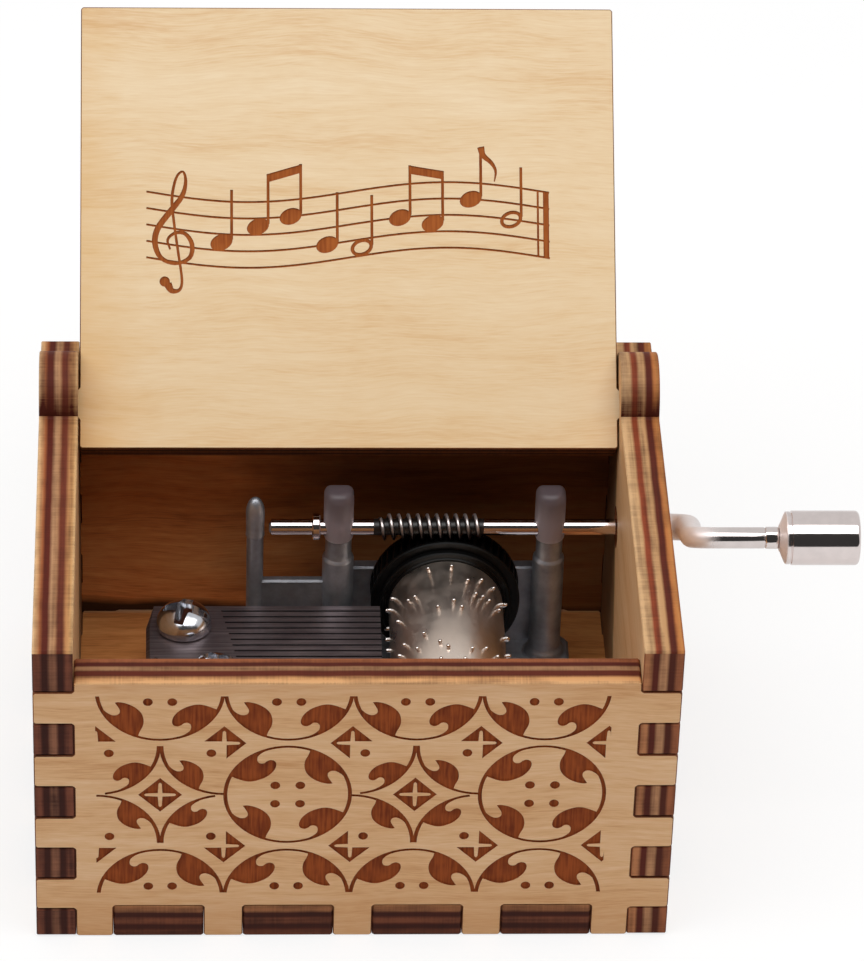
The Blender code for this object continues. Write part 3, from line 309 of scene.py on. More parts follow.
# The laser's cut through five plies: the cross plies burn almost black, the long plies stay brown,
# soot lies over both in long streaks, and the beam leaves fine ridges through the thickness. The
# plies are colours by their share of the depth, which is the UV map's second value. Where foot is a
# height, the soot is thick there and thins out over the next 4 mm.
def cut_edge(name, plies, soot, amount, foot=None):
    material, tree, shader = finish(name, Roughness=0.62, Specular_IOR_Level=0.15)
    place = add(tree, "ShaderNodeTexCoord").outputs["UV"]
    part = add(tree, "ShaderNodeSeparateXYZ", {0: place})
    along = add(tree, "ShaderNodeCombineXYZ", {"X": part.outputs[0]})
    wander = add(tree, "ShaderNodeTexNoise", {"Vector": along.outputs[0], "Scale": 0.16, "Detail": 3.0})
    share = add(tree, "ShaderNodeMath", {0: part.outputs[1], 1: 1 / PLY, 2: -0.03},
                operation="MULTIPLY_ADD")
    share = add(tree, "ShaderNodeMath", {0: wander.outputs[0], 1: 0.06, 2: share.outputs[0]},
                operation="MULTIPLY_ADD")
    shade = add(tree, "ShaderNodeValToRGB", {"Fac": share.outputs[0]}, stops=plies)
    burnt = None
    # Streaks, patches and the beam's ridges, which come last and give the bump too.
    layers = (((0.05, 1.6, 1), 3, 1.6), ((0.35, 0.7, 1), 4, 1.0), ((4.5, 0.15, 1), 2, 0.6))
    start = amount - sum(weight for _, _, weight in layers) / 2
    for scale, detail, weight in layers:
        noise = add(tree, "ShaderNodeMapping", {"Vector": place, "Scale": scale})
        noise = add(tree, "ShaderNodeTexNoise", {
            "Vector": noise.outputs[0], "Scale": 1.0, "Detail": detail})
        burnt = add(tree, "ShaderNodeMath", {
            0: noise.outputs[0], 1: weight, 2: burnt.outputs[0] if burnt else start},
            operation="MULTIPLY_ADD")
    burnt.use_clamp = True
    if foot:
        height = add(tree, "ShaderNodeTexCoord").outputs["Object"]
        height = add(tree, "ShaderNodeVectorMath", {0: height, 1: (0, 0, 1 / MM)}, operation="DOT_PRODUCT")
        thick = add(tree, "ShaderNodeMapRange", {
            "Value": height.outputs["Value"], "From Min": foot, "From Max": foot + 4.0,
            "To Min": 0.75, "To Max": 0.0})
        burnt = add(tree, "ShaderNodeMath", {0: burnt.outputs[0], 1: thick.outputs[0]},
                    operation="ADD", use_clamp=True)
    shade = add(tree, "ShaderNodeMix", {0: burnt.outputs[0], 6: shade.outputs[0], 7: colour(soot)},
                data_type="RGBA")
    tree.links.new(shade.outputs[2], shader.inputs["Base Color"])
    bump = add(tree, "ShaderNodeBump", {
        "Height": noise.outputs[0], "Strength": 0.4, "Distance": 0.06 * MM})
    tree.links.new(bump.outputs[0], shader.inputs["Normal"])
    return material


def five_plies(outer, cross, middle, last_cross, inner, rims=(None, None)):
    """Colour stops for one edge, from its outer face to its inner one, with rims of their own."""
    stops = [(0.04, outer), (0.17, outer), (0.25, cross), (0.36, cross), (0.44, middle), (0.56, middle),
             (0.64, last_cross), (0.75, last_cross), (0.83, inner), (0.96, inner)]
    first, last = rims
    return ([(0.0, first)] if first else []) + stops + ([(1.0, last)] if last else [])


# Engraved wood: an even toasted brown, with the laser's upright raster lines 0.25 mm apart.
def engraved(name, main, dark):
    material, tree, shader = finish(name, Roughness=0.8, Specular_IOR_Level=0.15)
    place = add(tree, "ShaderNodeTexCoord").outputs["UV"]
    lines = add(tree, "ShaderNodeMapping", {"Vector": place, "Scale": (4.0, 0.25, 1.0)})
    lines = add(tree, "ShaderNodeTexNoise", {"Vector": lines.outputs[0], "Scale": 1.0, "Detail": 2.0})
    patches = add(tree, "ShaderNodeTexNoise", {"Vector": place, "Scale": 0.4, "Detail": 2.0})
    mixed = add(tree, "ShaderNodeMath", {0: lines.outputs[0], 1: 0.7, 2: 0.0}, operation="MULTIPLY_ADD")
    mixed = add(tree, "ShaderNodeMath", {0: patches.outputs[0], 1: 0.4, 2: mixed.outputs[0]},
                operation="MULTIPLY_ADD")
    shade = add(tree, "ShaderNodeValToRGB", {"Fac": mixed.outputs[0]}, stops=[(0.38, dark), (0.66, main)])
    tree.links.new(shade.outputs[0], shader.inputs["Base Color"])
    return material


# The outside is toasted near its top and bottom edges. The floor is darker and warmer, with a painted
# highlight in a thin strip beside the back wall.
veneer_outside = veneer("birch veneer, sanded", "#E2BA90", "#D8A979", "#C08852", tints=[
    ((0, 1), 34.5, 30.0, "#B9793C", 0.5), ((0, 1), 3.0, 6.8, "#BC7E42", 0.3)])
veneer_floor = veneer("birch veneer, floor, darker and warmer", "#E09C5C", "#CB8448", "#9C5830", 0.6, [
    # Painted highlight: a pale strip of floor along the back wall.
    ((0, 1), 22.3, 21.5, "#CDBFA8", 0.5)])
edge_tab = cut_edge("birch ply edge, tabs", five_plies(
    "#9A6440", "#42190E", "#74402A", "#42190E", "#643420", ("#B88254", "#2E140C")),
    "#2C110A", 0.3)
edge_hidden = cut_edge("birch ply edge, inside", five_plies(
    "#80482A", "#34150C", "#80482A", "#34150C", "#80482A"), "#1C0C08", 0.4)
burnt_wood = engraved("birch, laser engraved", "#94481E", "#6A2C10")

inner_x, inner_y = HALF_WIDTH - PLY - KERF, HALF_DEPTH - PLY - KERF
front_side, right_side = [(-inner_x, -inner_y)], [(inner_x, -inner_y)]
for low, high in TABS_ACROSS:
    front_side += [(low, -inner_y), (low, -HALF_DEPTH), (high, -HALF_DEPTH), (high, -inner_y)]
for low, high in TABS_DEEP:
    right_side += [(inner_x, low), (HALF_WIDTH, low), (HALF_WIDTH, high), (inner_x, high)]
half_outline = front_side + right_side
base_outline = rounded(half_outline + [(-x, -y) for x, y in half_outline], CORNER)
countersink = [(0.1, 0.0), (0.0, 0.1), (0.0, 2.5), (1.0, 3.7), (1.0, 4.0)]
base = sheet(
    base_outline, PLY, holes=[disc(place, SCREW_HOLE) for place in FIXINGS.values()],
    hole_rows=countersink, edge_kind=lambda u, v: 3)
base = placed(base, lambda u, v, w: (u, v, PLY - w))
piece = put("base_board", base, [veneer_floor, edge_hidden, burnt_wood, edge_tab, veneer_outside])
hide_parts("base_panel")
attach(piece, "box")


# Front and back panels
# Birch plywood between the side panels, joined to them by four fingers at each end. The laser has
# engraved a lattice of circles, leaves and crossed diamonds on the outer face.
FRONT_HEIGHT, BACK_HEIGHT = 33.0, 37.0
FINGER = 4.03
FINGERS = [(low, low + FINGER) for low in (3.65 + 2 * FINGER * index for index in range(4))]
ENGRAVING = 0.13
CIRCLE = 6.22
COLUMN_PITCH = 12.7
ROW_TOP, ROW_MIDDLE, ROW_BOTTOM = 32.07, 18.73, 5.27
PATTERN_LOW, PATTERN_HIGH = 5.8, 31.4
PATTERN_SHIFT = -0.43
WINDOW_LEFT, WINDOW_RIGHT = -25.45, 25.6
THIN_LINE, SWELL = 0.26, 0.14
DOT, DOT_SIDES = 0.49, 16
# A leaf's back and its curl, drawn from its circle's centre.
POINTED_LEAF = (
    [(2.2, 5.86), (2.02, 5.2), (1.7, 4.45), (1.62, 3.7), (1.82, 2.85), (2.4, 2.12), (3.2, 1.62),
     (4.0, 1.4), (4.45, 1.45)],
    [(4.45, 1.45), (4.2, 1.9), (3.98, 2.35), (3.98, 2.75), (4.25, 3.03), (4.7, 3.05),
     (5.2, 2.75), (5.62, 2.3)])
ROUND_LEAF = (
    [(2.35, 5.62), (1.94, 4.76), (1.72, 4.0), (1.8, 3.2), (2.3, 2.15), (3.05, 1.45), (3.8, 1.18),
     (4.32, 1.3), (4.5, 1.72), (4.35, 2.1)],
    [(4.35, 2.1), (4.08, 2.4), (4.08, 2.8), (4.4, 3.05), (4.95, 3.0), (5.4, 2.6), (5.72, 2.1)])
LEAF_FROM, LEAF_TO = 22, 68


def curve(points, steps=5):
    """A smooth line through points: Catmull-Rom, each span a cubic with its neighbours' slopes."""
    points = np.asarray(points, float)
    line = np.concatenate([2 * points[:1] - points[1:2], points, 2 * points[-1:] - points[-2:-1]])
    a, b, c, d = line[:-3, None], line[1:-2, None], line[2:-1, None], line[3:, None]
    t = np.arange(steps)[None, :, None] / steps
    spans = b + (c - a) * t / 2 + (a - 2.5 * b + 2 * c - d / 2) * t ** 2
    spans = spans + (1.5 * b - a / 2 - 1.5 * c + d / 2) * t ** 3
    return np.concatenate([spans.reshape(-1, points.shape[1]), points[-1:]])


def arc(centre, radius, start, end, steps):
    """Points on an arc between two angles in degrees, both ends included."""
    angles = np.radians(np.linspace(start, end, steps + 1))
    return np.array(centre) + radius * np.stack([np.cos(angles), np.sin(angles)], 1)


def stroke(line, widths):
    """A line of changing width, as one four-cornered mark for each of its steps."""
    slope = np.gradient(line, axis=0)
    slope /= np.linalg.norm(slope, axis=1, keepdims=True)
    side = np.stack([-slope[:, 1], slope[:, 0]], 1) * np.reshape(widths, (-1, 1)) / 2
    left, right = line + side, line - side
    return list(np.stack([right[:-1], right[1:], left[1:], left[:-1]], 1))


def rim_line(centre, start, end):
    """A circle's line, which the laser drew wider where it runs upright."""
    line = arc(centre, CIRCLE, start, end, max(4, round(abs(end - start) / 6)))
    upright = np.abs(line[:, 0] - centre[0]) / CIRCLE
    return stroke(line, THIN_LINE + SWELL * upright ** 2)


def leaf(centre, turns, scale=1.0):
    """The leaf that hangs on the inside of a circle, turned about its centre by quarter turns.

    Its foot lies on the circle between two angles. Its tip is pointed after an even number of turns
    and round after an odd one, and a scale shrinks it towards its place on the circle.
    """
    back, curl = (POINTED_LEAF, ROUND_LEAF)[turns % 2]
    foot = arc((0, 0), CIRCLE + 0.06, LEAF_FROM, LEAF_TO, 8)
    points = np.concatenate([foot, curve(back)[:-1], curve(curl)])
    hinge = np.full(2, CIRCLE / math.sqrt(2))
    points = hinge + (points - hinge) * scale
    cosine, sine = round(math.cos(turns * math.pi / 2)), round(math.sin(turns * math.pi / 2))
    return points @ np.array([[cosine, sine], [-sine, cosine]]) + np.array(centre)


def diamond_quarter(centre, turns, joins_next, joins_last):
    """A quarter of a crossed diamond. It runs on to a neighbour, or ends in a point without one."""
    arm, reach, tip = 0.23, 1.42, 2.2
    last = [(reach, arm - 0.07), (reach + 0.14, 0.06), (reach + 0.14, -0.02), (tip, -0.02)]
    following = [(-0.02, tip), (-0.02, reach + 0.14), (0.06, reach + 0.14), (arm - 0.07, reach)]
    points = [(arm, arm)] + (last if joins_last else [(tip - arm, arm)])
    points += following if joins_next else [(arm, tip - arm)]
    cosine, sine = round(math.cos(turns * math.pi / 2)), round(math.sin(turns * math.pi / 2))
    return np.array(points) @ np.array([[cosine, sine], [-sine, cosine]]) + np.array(centre)


def crossed_diamond(centre, present):
    """Up to four quarters, counter-clockwise from the upper right. A dot takes an absent one's place."""
    marks = []
    for turns, here in enumerate(present):
        if here:
            marks.append(diamond_quarter(centre, turns, present[(turns + 1) % 4], present[turns - 1]))
        else:
            way = np.array([(1, 1), (-1, 1), (-1, -1), (1, -1)][turns])
            marks.append(disc(np.array(centre) + 1.28 * way, DOT, DOT_SIDES))
    return marks


def lattice(columns, middle):
    """The engraved pattern: half circles above and below, circles and four-armed stars between."""
    marks = []
    places = [middle + (index - (columns - 1) / 2) * COLUMN_PITCH for index in range(columns)]
    for index, x in enumerate(places):
        for z, start, turns, rise in ((ROW_TOP, 180, (2, 3), -1.4), (ROW_BOTTOM, 0, (0, 1), 1.4)):
            marks += rim_line((x, z), start, start + 180)
            marks += [leaf((x, z), turn) for turn in turns]
            marks += [disc((x + side, z + rise), DOT, DOT_SIDES) for side in (-1.2, 1.2)]
        centre = (x, ROW_MIDDLE)
        if index % 2:
            marks += rim_line(centre, 0, 360)
            marks += [leaf(centre, turn) for turn in range(4)]
            marks += [disc((x + a, ROW_MIDDLE + b), DOT, DOT_SIDES)
                      for a in (-1.25, 1.25) for b in (-1.2, 1.2)]
        else:
            half = COLUMN_PITCH / 2
            for turn, (a, b) in enumerate([(-1, -1), (1, -1), (1, 1), (-1, 1)]):
                corner = (x + a * half, ROW_MIDDLE + b * (CIRCLE + 0.1))
                short = 8 if turn % 2 else 0
                marks += rim_line(corner, 90 * turn + short, 90 * turn + 90)
                marks.append(leaf(corner, turn, 0.85))
            marks += crossed_diamond(centre, [True] * 4)
    for index in range(columns + 1):
        x = places[0] + (index - 0.5) * COLUMN_PITCH
        left, right = index % 2 == 0, index % 2 == 1
        marks += crossed_diamond((x, (ROW_TOP + ROW_MIDDLE) / 2), [True, True, left, right])
        marks += crossed_diamond((x, (ROW_MIDDLE + ROW_BOTTOM) / 2), [right, left, True, True])
    return marks


def notched(half, bands):
    """The lower edge of a wall, with a notch over each tab of the base."""
    points = [(-half, 0)]
    for low, high in bands:
        low, high = low - KERF, high + KERF
        points += [(low, 0), (low, PLY + KERF), (high, PLY + KERF), (high, 0)]
    return points + [(half, 0)]


def cross_wall(height):
    """The outline of the front or back panel, with a finger at each band of both ends."""
    right = []
    for low, high in FINGERS:
        low, high = low + KERF, high - KERF
        right += [(inner_x, low), (HALF_WIDTH, low), (HALF_WIDTH, high), (inner_x, high)]
    left = [(-u, v) for u, v in reversed(right)]
    top = [(inner_x, height), (-inner_x, height)]
    return rounded(notched(inner_x, TABS_ACROSS) + right + top + left, CORNER)


def pattern_window(low, high):
    """The rectangle that the pattern is cut off at, from low to high along the wall."""
    return [(low, PATTERN_LOW), (high, PATTERN_LOW), (high, PATTERN_HIGH), (low, PATTERN_HIGH)]


# The back's inner face has painted shade towards its top, where the lid overhangs it, is darker over its
# right half, and has a nearly black painted shadow along its joint with the floor.
veneer_back = veneer("birch veneer, painted shade at top and floor joint", "#F0A868", "#DE8E50", "#AC6236", 0.6, [
    ((0, 1), 38.0, 19.0, "#5A260F", 0.62), ((1, 0), 0.0, 14.0, "#1E0C07", 0.68),
    ((-0.03, 1), PLY + 0.2, PLY + 1.3, "#0C0503", 0.93)])
edge_front = cut_edge("birch ply edge, front panel", [
    (0.0, "#D5A574"), (0.22, "#CB9360"), (0.32, "#5A2416"), (0.48, "#5A2416"), (0.54, "#99704F"),
    (0.64, "#99704F"), (0.7, "#4E1C12"), (0.8, "#4E1C12"), (0.86, "#8E5233"), (1.0, "#8E5233")],
    "#3A160C", 0.13)
for name, height, middle, place in (
    ("front", FRONT_HEIGHT, PATTERN_SHIFT, lambda u, v, w: (u, w - HALF_DEPTH, v)),
    ("back", BACK_HEIGHT, 0.0, lambda u, v, w: (-u, HALF_DEPTH - w, v)),
):
    window = pattern_window(middle + WINDOW_LEFT, middle + WINDOW_RIGHT)
    wall = sheet(
        cross_wall(height), PLY, marks=lattice(4, middle), window=window, depth=ENGRAVING,
        edge_kind=lambda u, v: np.where(v < height - 0.2, 3, 1))
    inner = veneer_outside if name == "front" else veneer_back
    finishes = [veneer_outside, edge_front, burnt_wood, edge_hidden, inner]
    piece = put(f"{name}_wall", placed(wall, place), finishes)
    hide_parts(f"{name}_panel")
    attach(piece, "box")


# Side panels
# Birch plywood over the full depth of the box. Slots take the fingers of the front and back, a
# round ear holds the lid's pivot, and the right one has the crank's hole.
PIVOT_Y, PIVOT_Z, PIVOT_HOLE = 16.65, 35.15, 2.7
EAR_RADIUS = 4.35
SHAFT_Y, SHAFT_Z = 10.7, 24.1
CRANK_HOLE = 2.1
SIDE_WINDOW = 19.3

# The left panel's ends are nearly black, darker than the right one's, which show their plies. Both ears are
# thick with soot at the foot. Each inner face has a painted shadow over its rear part.
TOP_EDGES = {
    "left": [(0.0, "#E2BC90"), (0.08, "#CE9C6C"), (0.18, "#9C5A34"), (0.25, "#5A2013"),
             (0.36, "#5A2013"), (0.44, "#B28560"), (0.54, "#AC7D57"), (0.62, "#6E3320"),
             (0.73, "#6A3020"), (0.81, "#B0794C"), (0.92, "#C4935F"), (1.0, "#D6AE7E")],
    "right": [(0.0, "#9A5630"), (0.06, "#B87A44"), (0.16, "#B06C3A"), (0.22, "#5C2416"),
              (0.34, "#5C2416"), (0.41, "#B98C60"), (0.53, "#C09468"), (0.6, "#883E24"),
              (0.7, "#883E24"), (0.77, "#C3996C"), (1.0, "#D0A87C")]}
END_EDGES = {
    "left": (five_plies("#7A4430", "#40190F", "#8A5A42", "#40190F", "#7A4430",
                        ("#331410", "#331410")), "#2E120C", 0.4),
    "right": (five_plies("#985A3A", "#502012", "#B4825C", "#561E12", "#B0744C",
                         ("#4A1A0E", "#702E1A")), "#40180C", 0.22)}
back_slots = []
for low, high in FINGERS:
    back_slots += [(HALF_DEPTH, low), (inner_y, low), (inner_y, high), (HALF_DEPTH, high)]
front_slots = [(-u, v) for u, v in reversed(back_slots)]
ear = arc((PIVOT_Y, BACK_HEIGHT), EAR_RADIUS, 0, 180, 28)
for name, side in (("left", -1), ("right", 1)):
    outline = notched(HALF_DEPTH, TABS_DEEP) + back_slots + [(HALF_DEPTH, BACK_HEIGHT)] + ear.tolist()
    outline += [(-HALF_DEPTH, BACK_HEIGHT)] + front_slots
    holes = [disc((PIVOT_Y, PIVOT_Z), PIVOT_HOLE)]
    if side > 0:
        holes.append(disc((SHAFT_Y, SHAFT_Z), CRANK_HOLE))
    outline, holes = np.array(outline) * (side, 1), [hole * (side, 1) for hole in holes]
    wall = sheet(
        rounded(outline, CORNER), PLY, holes=holes, marks=lattice(3, 0.0),
        window=pattern_window(-SIDE_WINDOW, SIDE_WINDOW), depth=ENGRAVING,
        edge_kind=lambda u, v: np.where(
            v < BACK_HEIGHT - 0.3, 3, np.where(v > BACK_HEIGHT + 0.3, 5, 1)))
    wall = placed(wall, lambda u, v, w: (side * (HALF_WIDTH - w), side * u, v))
    top = cut_edge(f"birch ply edge, {name} top", TOP_EDGES[name], "#3A160C", 0.16)
    around = cut_edge(f"birch ply edge, {name} ear", TOP_EDGES[name], "#45170C", 0.36, BACK_HEIGHT - 0.5)
    ends = cut_edge(f"birch ply edge, {name} ends", *END_EDGES[name])
    # The inner face's tint is a painted shadow over its rear part, edged along a slanted line.
    inner = veneer(f"birch veneer, {name} inside", "#DDB488", "#D5A574", "#BF8650", tints=[
        ((side, -0.41), 2.0, 0.4, "#2A1007", 0.72)])
    piece = put(f"side_wall_{name}", wall, [veneer_outside, top, burnt_wood, ends, inner, around])
    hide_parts(f"side_panel_{name}")
    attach(piece, "box")


# Lid
# Birch plywood, one piece with its two pivot tabs. The face that shows when it is open has a line
# of music in plain notes, engraved as deep as the lattice.
LID_HALF, LID_TIP, LID_PIN = 27.86, 31.7, 1.5
LID_HEEL, LID_NOSE = 4.7, 42.3
LID_OPENING = math.radians(137.615)
STAVE_PLACE, STAVE_HALF, STAVE_STEP, STAVE_WAVE = 19.0, 21.0, 1.75, 1.1
# The clef's line and its widths, in steps of the stave from the line it curls round.
CLEF = [(-0.45, -2.35), (-0.2, -2.75), (0.25, -2.7), (0.4, -2.1), (0.2, -0.6), (-0.05, 1.2),
        (-0.2, 2.8), (0.05, 4.1), (0.45, 4.5), (0.62, 3.9), (0.4, 3.0), (-0.35, 2.0), (-1.05, 1.0),
        (-1.2, 0.1), (-0.85, -0.75), (0.0, -1.1), (0.85, -0.75), (1.0, 0.05), (0.6, 0.7),
        (0.0, 0.75), (-0.45, 0.35), (-0.3, -0.25)]
CLEF_WIDTHS = [0.5, 0.35, 0.2, 0.16, 0.16, 0.16, 0.18, 0.16, 0.14, 0.2, 0.3, 0.36, 0.36, 0.34,
               0.28, 0.22, 0.26, 0.28, 0.24, 0.2, 0.16, 0.12]
CLEF_PLACE = -18.0
# Each note's place along the stave, its line, and whether its head is filled.
NOTES = [(-13.2, 1.5, True), (-9.4, 2.5, True), (-6.0, 3.0, True), (-2.2, 1.0, True),
         (1.4, 0.5, False), (5.4, 2.0, True), (8.8, 1.5, True), (12.8, 3.0, True), (17.0, 2.0, False)]
HEAD_LONG, HEAD_HIGH, HEAD_LEAN = 1.2, 0.85, 0.4
STEM_PLACE, STEM_HIGH, STEM_LEFT, STEM_RIGHT = 1.08, 5.6, 0.17, 0.13
BEAMS, BEAM = [(1, 2), (5, 6)], 0.9
FLAGS = [7]
FLAG = [(0, 0), (0.25, -0.9), (1.1, -1.7), (1.55, -2.6), (1.4, -3.7)]
END_BARS = [(1.2, 0.22), (0.35, 0.6)]


def stave_height(u, line):
    """Height of a stave line, 0 the lowest and 4 the highest: the lines share one long wave."""
    return STAVE_PLACE + (line - 2) * STAVE_STEP + STAVE_WAVE * np.sin(math.pi * u / STAVE_HALF)


def line_of_music():
    """Five wavy lines, a clef, and plain notes with stems, two beams, a flag and a double end bar."""
    marks = []
    across = np.linspace(-STAVE_HALF, STAVE_HALF, 57)
    for line in range(5):
        marks += stroke(np.stack([across, stave_height(across, line)], 1), np.full(57, 0.22))
    clef = curve(np.column_stack([CLEF, CLEF_WIDTHS]), 4)
    place = np.array([CLEF_PLACE, stave_height(CLEF_PLACE, 1)])
    marks += stroke(clef[:, :2] * STAVE_STEP + place, clef[:, 2] * STAVE_STEP)
    marks.append(disc(place + np.array([-0.62, -2.2]) * STAVE_STEP, 0.55, 16))
    head = disc((0, 0), 1.0, 24) * (HEAD_LONG, HEAD_HIGH)
    cosine, sine = math.cos(HEAD_LEAN), math.sin(HEAD_LEAN)
    lean = np.array([[cosine, sine], [-sine, cosine]])
    tops = []
    for u, line, full in NOTES:
        v = float(stave_height(u, line))
        if full:
            marks.append(head @ lean + (u, v))
        else:
            ring = np.concatenate([head, head[:1]])
            marks += stroke(ring @ lean * 0.85 + (u, v), np.full(25, 0.38))
        left, right, top = u + STEM_PLACE - STEM_LEFT, u + STEM_PLACE + STEM_RIGHT, v + STEM_HIGH
        marks.append([(left, v + 0.3), (right, v + 0.3), (right, top), (left, top)])
        tops.append((left, right, top))
    for first, last in BEAMS:
        left, _, start = tops[first]
        _, right, end = tops[last]
        marks.append([(left, start - BEAM), (right, end - BEAM), (right, end), (left, start)])
    for index in FLAGS:
        left, _, top = tops[index]
        flag = curve(FLAG)
        marks += stroke(flag + (left + STEM_LEFT, top), np.linspace(0.75, 0.12, len(flag)))
    for inset, width in END_BARS:
        u = STAVE_HALF - inset
        left, right = u - width / 2, u + width / 2
        low, high = float(stave_height(u, 0)), float(stave_height(u, 4))
        marks.append([(left, low), (right, low), (right, high), (left, high)])
    return marks


def open_lid(u, v, w):
    """The lid's own flat place, v going away from the pivot, turned back about the pivot's line."""
    y, z = -v, w - PLY / 2
    cosine, sine = math.cos(LID_OPENING), math.sin(LID_OPENING)
    return u, PIVOT_Y + y * cosine + z * sine, PIVOT_Z - y * sine + z * cosine


right = [(LID_HALF, -LID_HEEL), (LID_HALF, -LID_PIN), (LID_TIP, -LID_PIN), (LID_TIP, LID_PIN),
         (LID_HALF, LID_PIN), (LID_HALF, LID_NOSE)]
lid = sheet(rounded(right + [(-u, v) for u, v in reversed(right)], CORNER), PLY,
            marks=line_of_music(), depth=ENGRAVING)
# The lid grows warmer towards its pivot, and more so along its left side.
veneer_lid = veneer("birch veneer, pale", "#EED6B2", "#E8CBA2", "#DBB281", tints=[
    ((0, 1), -14.0, 44.0, "#DFB880", 0.34), ((1, 0.1), -29.5, -20.0, "#D7A356", 0.55)])
burnt_lid = engraved("birch, lightly engraved", "#A85C28", "#8A441C")
lid_edge = cut_edge("birch ply edge, lid", five_plies(
    "#8E5A34", "#3A1A12", "#8E5A34", "#3A1A12", "#8E5A34"), "#24100A", 0.35)
finishes = [veneer_lid, lid_edge, burnt_lid, lid_edge, veneer_lid]
piece = put("lid_board", placed(lid, open_lid), finishes)
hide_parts("lid")
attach(piece, "lid")


# Movement frame
# One zinc die casting: a bedplate with the comb's seat, two turned columns, an end post, low walls
# and the bearing for the barrel's front end. Its skin is dull grey and its edges are soft.
PLATE_TOP, PLATE_THICK = 7.5, 2.0
PLATE_LEFT, PLATE_RIGHT, PLATE_FRONT, PLATE_BACK = -20.6, 23.75, -14.65, 14.5
POCKET_HALF, POCKET_FRONT, POCKET_BACK, POCKET_DEEP = 3.4, 8.9, 12.5, 0.7
COLUMNS_X, END_POST_X = (-0.96, 21.1), -9.66
BARREL_X, BARREL_Z = 10.35, 15.307
ARBOR_BORE = 1.02
WALL_FOOT, WALL_TOP = 7.2, 17.307
NECK_FOOT, NECK_TOP = 20.45, 22.85
POST_SHOULDER, POST_TIP = 26.0, 1.9


def skin(rings):
    """Quads between neighbouring rings of a (rows, sides, 3) array, each ring closed.

    The UV map is (share of a turn, millimetres along the first side).
    """
    rows, sides = rings.shape[:2]
    row, side = np.meshgrid(np.arange(rows - 1), np.arange(sides), indexing="ij")
    after = (side + 1) % sides
    near, far = row * sides, (row + 1) * sides
    faces = np.stack([near + side, near + after, far + after, far + side], -1).reshape(-1, 4)
    steps = np.linalg.norm(np.diff(rings[:, 0], axis=0), axis=1)
    along = np.concatenate([[0], np.cumsum(steps)])
    low, high = side / sides, (side + 1) / sides
    uv = np.stack([np.stack([low, along[row]], -1), np.stack([high, along[row]], -1),
                   np.stack([high, along[row + 1]], -1), np.stack([low, along[row + 1]], -1)], -2)
    return rings.reshape(-1, 3), faces, np.zeros(len(faces), int), uv.reshape(-1, 4, 2)


def turned(profile, axis, centre, sides=48):
    """(place, radius) pairs turned about an axis: centre + place on it + radius round it."""
    along, radius = np.asarray(profile, float).T
    frame_axes = np.roll(np.eye(3), -"XYZ".index(axis), 0)
    angles = math.tau * np.arange(sides) / sides
    spokes = np.cos(angles)[:, None] * frame_axes[1] + np.sin(angles)[:, None] * frame_axes[2]
    rings = along[:, None, None] * frame_axes[0] + radius[:, None, None] * spokes
    return skin(rings + np.array(centre))


def bar(low, high, soft=0.25, bevel=0.2):
    """A cast block between two corners, with round upright corners and bevelled rims."""
    outline = rounded([(low[0], low[1]), (high[0], low[1]), (high[0], high[1]), (low[0], high[1])], soft)
    return placed(sheet(outline, high[2] - low[2], bevel=bevel), lambda u, v, w: (u, v, high[2] - w))


def upright(outline, back, front, holes=(), soft=0.3, bevel=0.2):
    """A cast wall: an outline in X and Z between two depths."""
    wall = sheet(rounded(outline, soft), back - front, holes=holes, bevel=bevel)
    return placed(wall, lambda u, v, w: (u, front + w, v))


zinc, tree, shader = finish("zinc, die cast", Metallic=0.85)
place = add(tree, "ShaderNodeTexCoord").outputs["Object"]
cloud = add(tree, "ShaderNodeTexNoise", {"Vector": place, "Scale": 320.0, "Detail": 5.0, "Roughness": 0.65})
grit = add(tree, "ShaderNodeTexNoise", {"Vector": place, "Scale": 2600.0, "Detail": 2.0})
shade = add(tree, "ShaderNodeValToRGB", {"Fac": cloud.outputs[0]},
            stops=[(0.3, "#8A8C91"), (0.52, "#A3A5AB"), (0.75, "#BDC0C6")])
tree.links.new(shade.outputs[0], shader.inputs["Base Color"])
gloss = add(tree, "ShaderNodeMapRange", {"Value": cloud.outputs[0], "To Min": 0.5, "To Max": 0.34})
tree.links.new(gloss.outputs[0], shader.inputs["Roughness"])
bump = add(tree, "ShaderNodeBump", {"Height": grit.outputs[0], "Strength": 0.35, "Distance": 0.02 * MM})
tree.links.new(bump.outputs[0], shader.inputs["Normal"])

pocket_left, pocket_right = BARREL_X - POCKET_HALF, BARREL_X + POCKET_HALF
pocket = [(pocket_left, POCKET_FRONT), (pocket_right, POCKET_FRONT), (pocket_right, POCKET_BACK),
          (pocket_left, POCKET_BACK)]
plate = [(PLATE_LEFT, PLATE_FRONT), (PLATE_RIGHT, PLATE_FRONT), (PLATE_RIGHT, PLATE_BACK),
         (PLATE_LEFT, PLATE_BACK)]
plate = sheet(rounded(plate, 2.0, 8), PLATE_THICK, marks=[pocket], depth=POCKET_DEEP, bevel=0.25)
casting = [placed(plate, lambda u, v, w: (u, v, PLATE_TOP - w))]
# Feet under the plate, one round each screw.
casting += [turned([(4.06, 0), (4.06, 2.15), (4.2, 2.3), (5.6, 2.3), (5.6, 0)], "Z", (x, y, 0))
            for x, y in FIXINGS.values()]
column = [(5.8, 0), (5.8, 2.35), (7.5, 2.35), (7.62, 2.12), (7.85, 2.05), (8.1, 2.02), (8.35, 1.9),
          (8.55, 1.7), (8.75, 1.65), (20.1, 1.65), (20.25, 1.62), (NECK_FOOT, 1.42), (20.55, 1.38),
          (NECK_TOP, 1.38), (NECK_TOP, 0)]
casting += [turned(column, "Z", (x, SHAFT_Y, 0), 64) for x in COLUMNS_X]
crown = np.radians(np.linspace(0, 90, 12))
post = [(5.8, 0), (5.8, 1.3), (7.5, 1.3), (7.65, 1.05), (7.9, 0.88), (23.0, 0.88), (23.06, 0.96),
        (23.16, 0.99), (23.32, 0.99), (23.5, 0.95)]
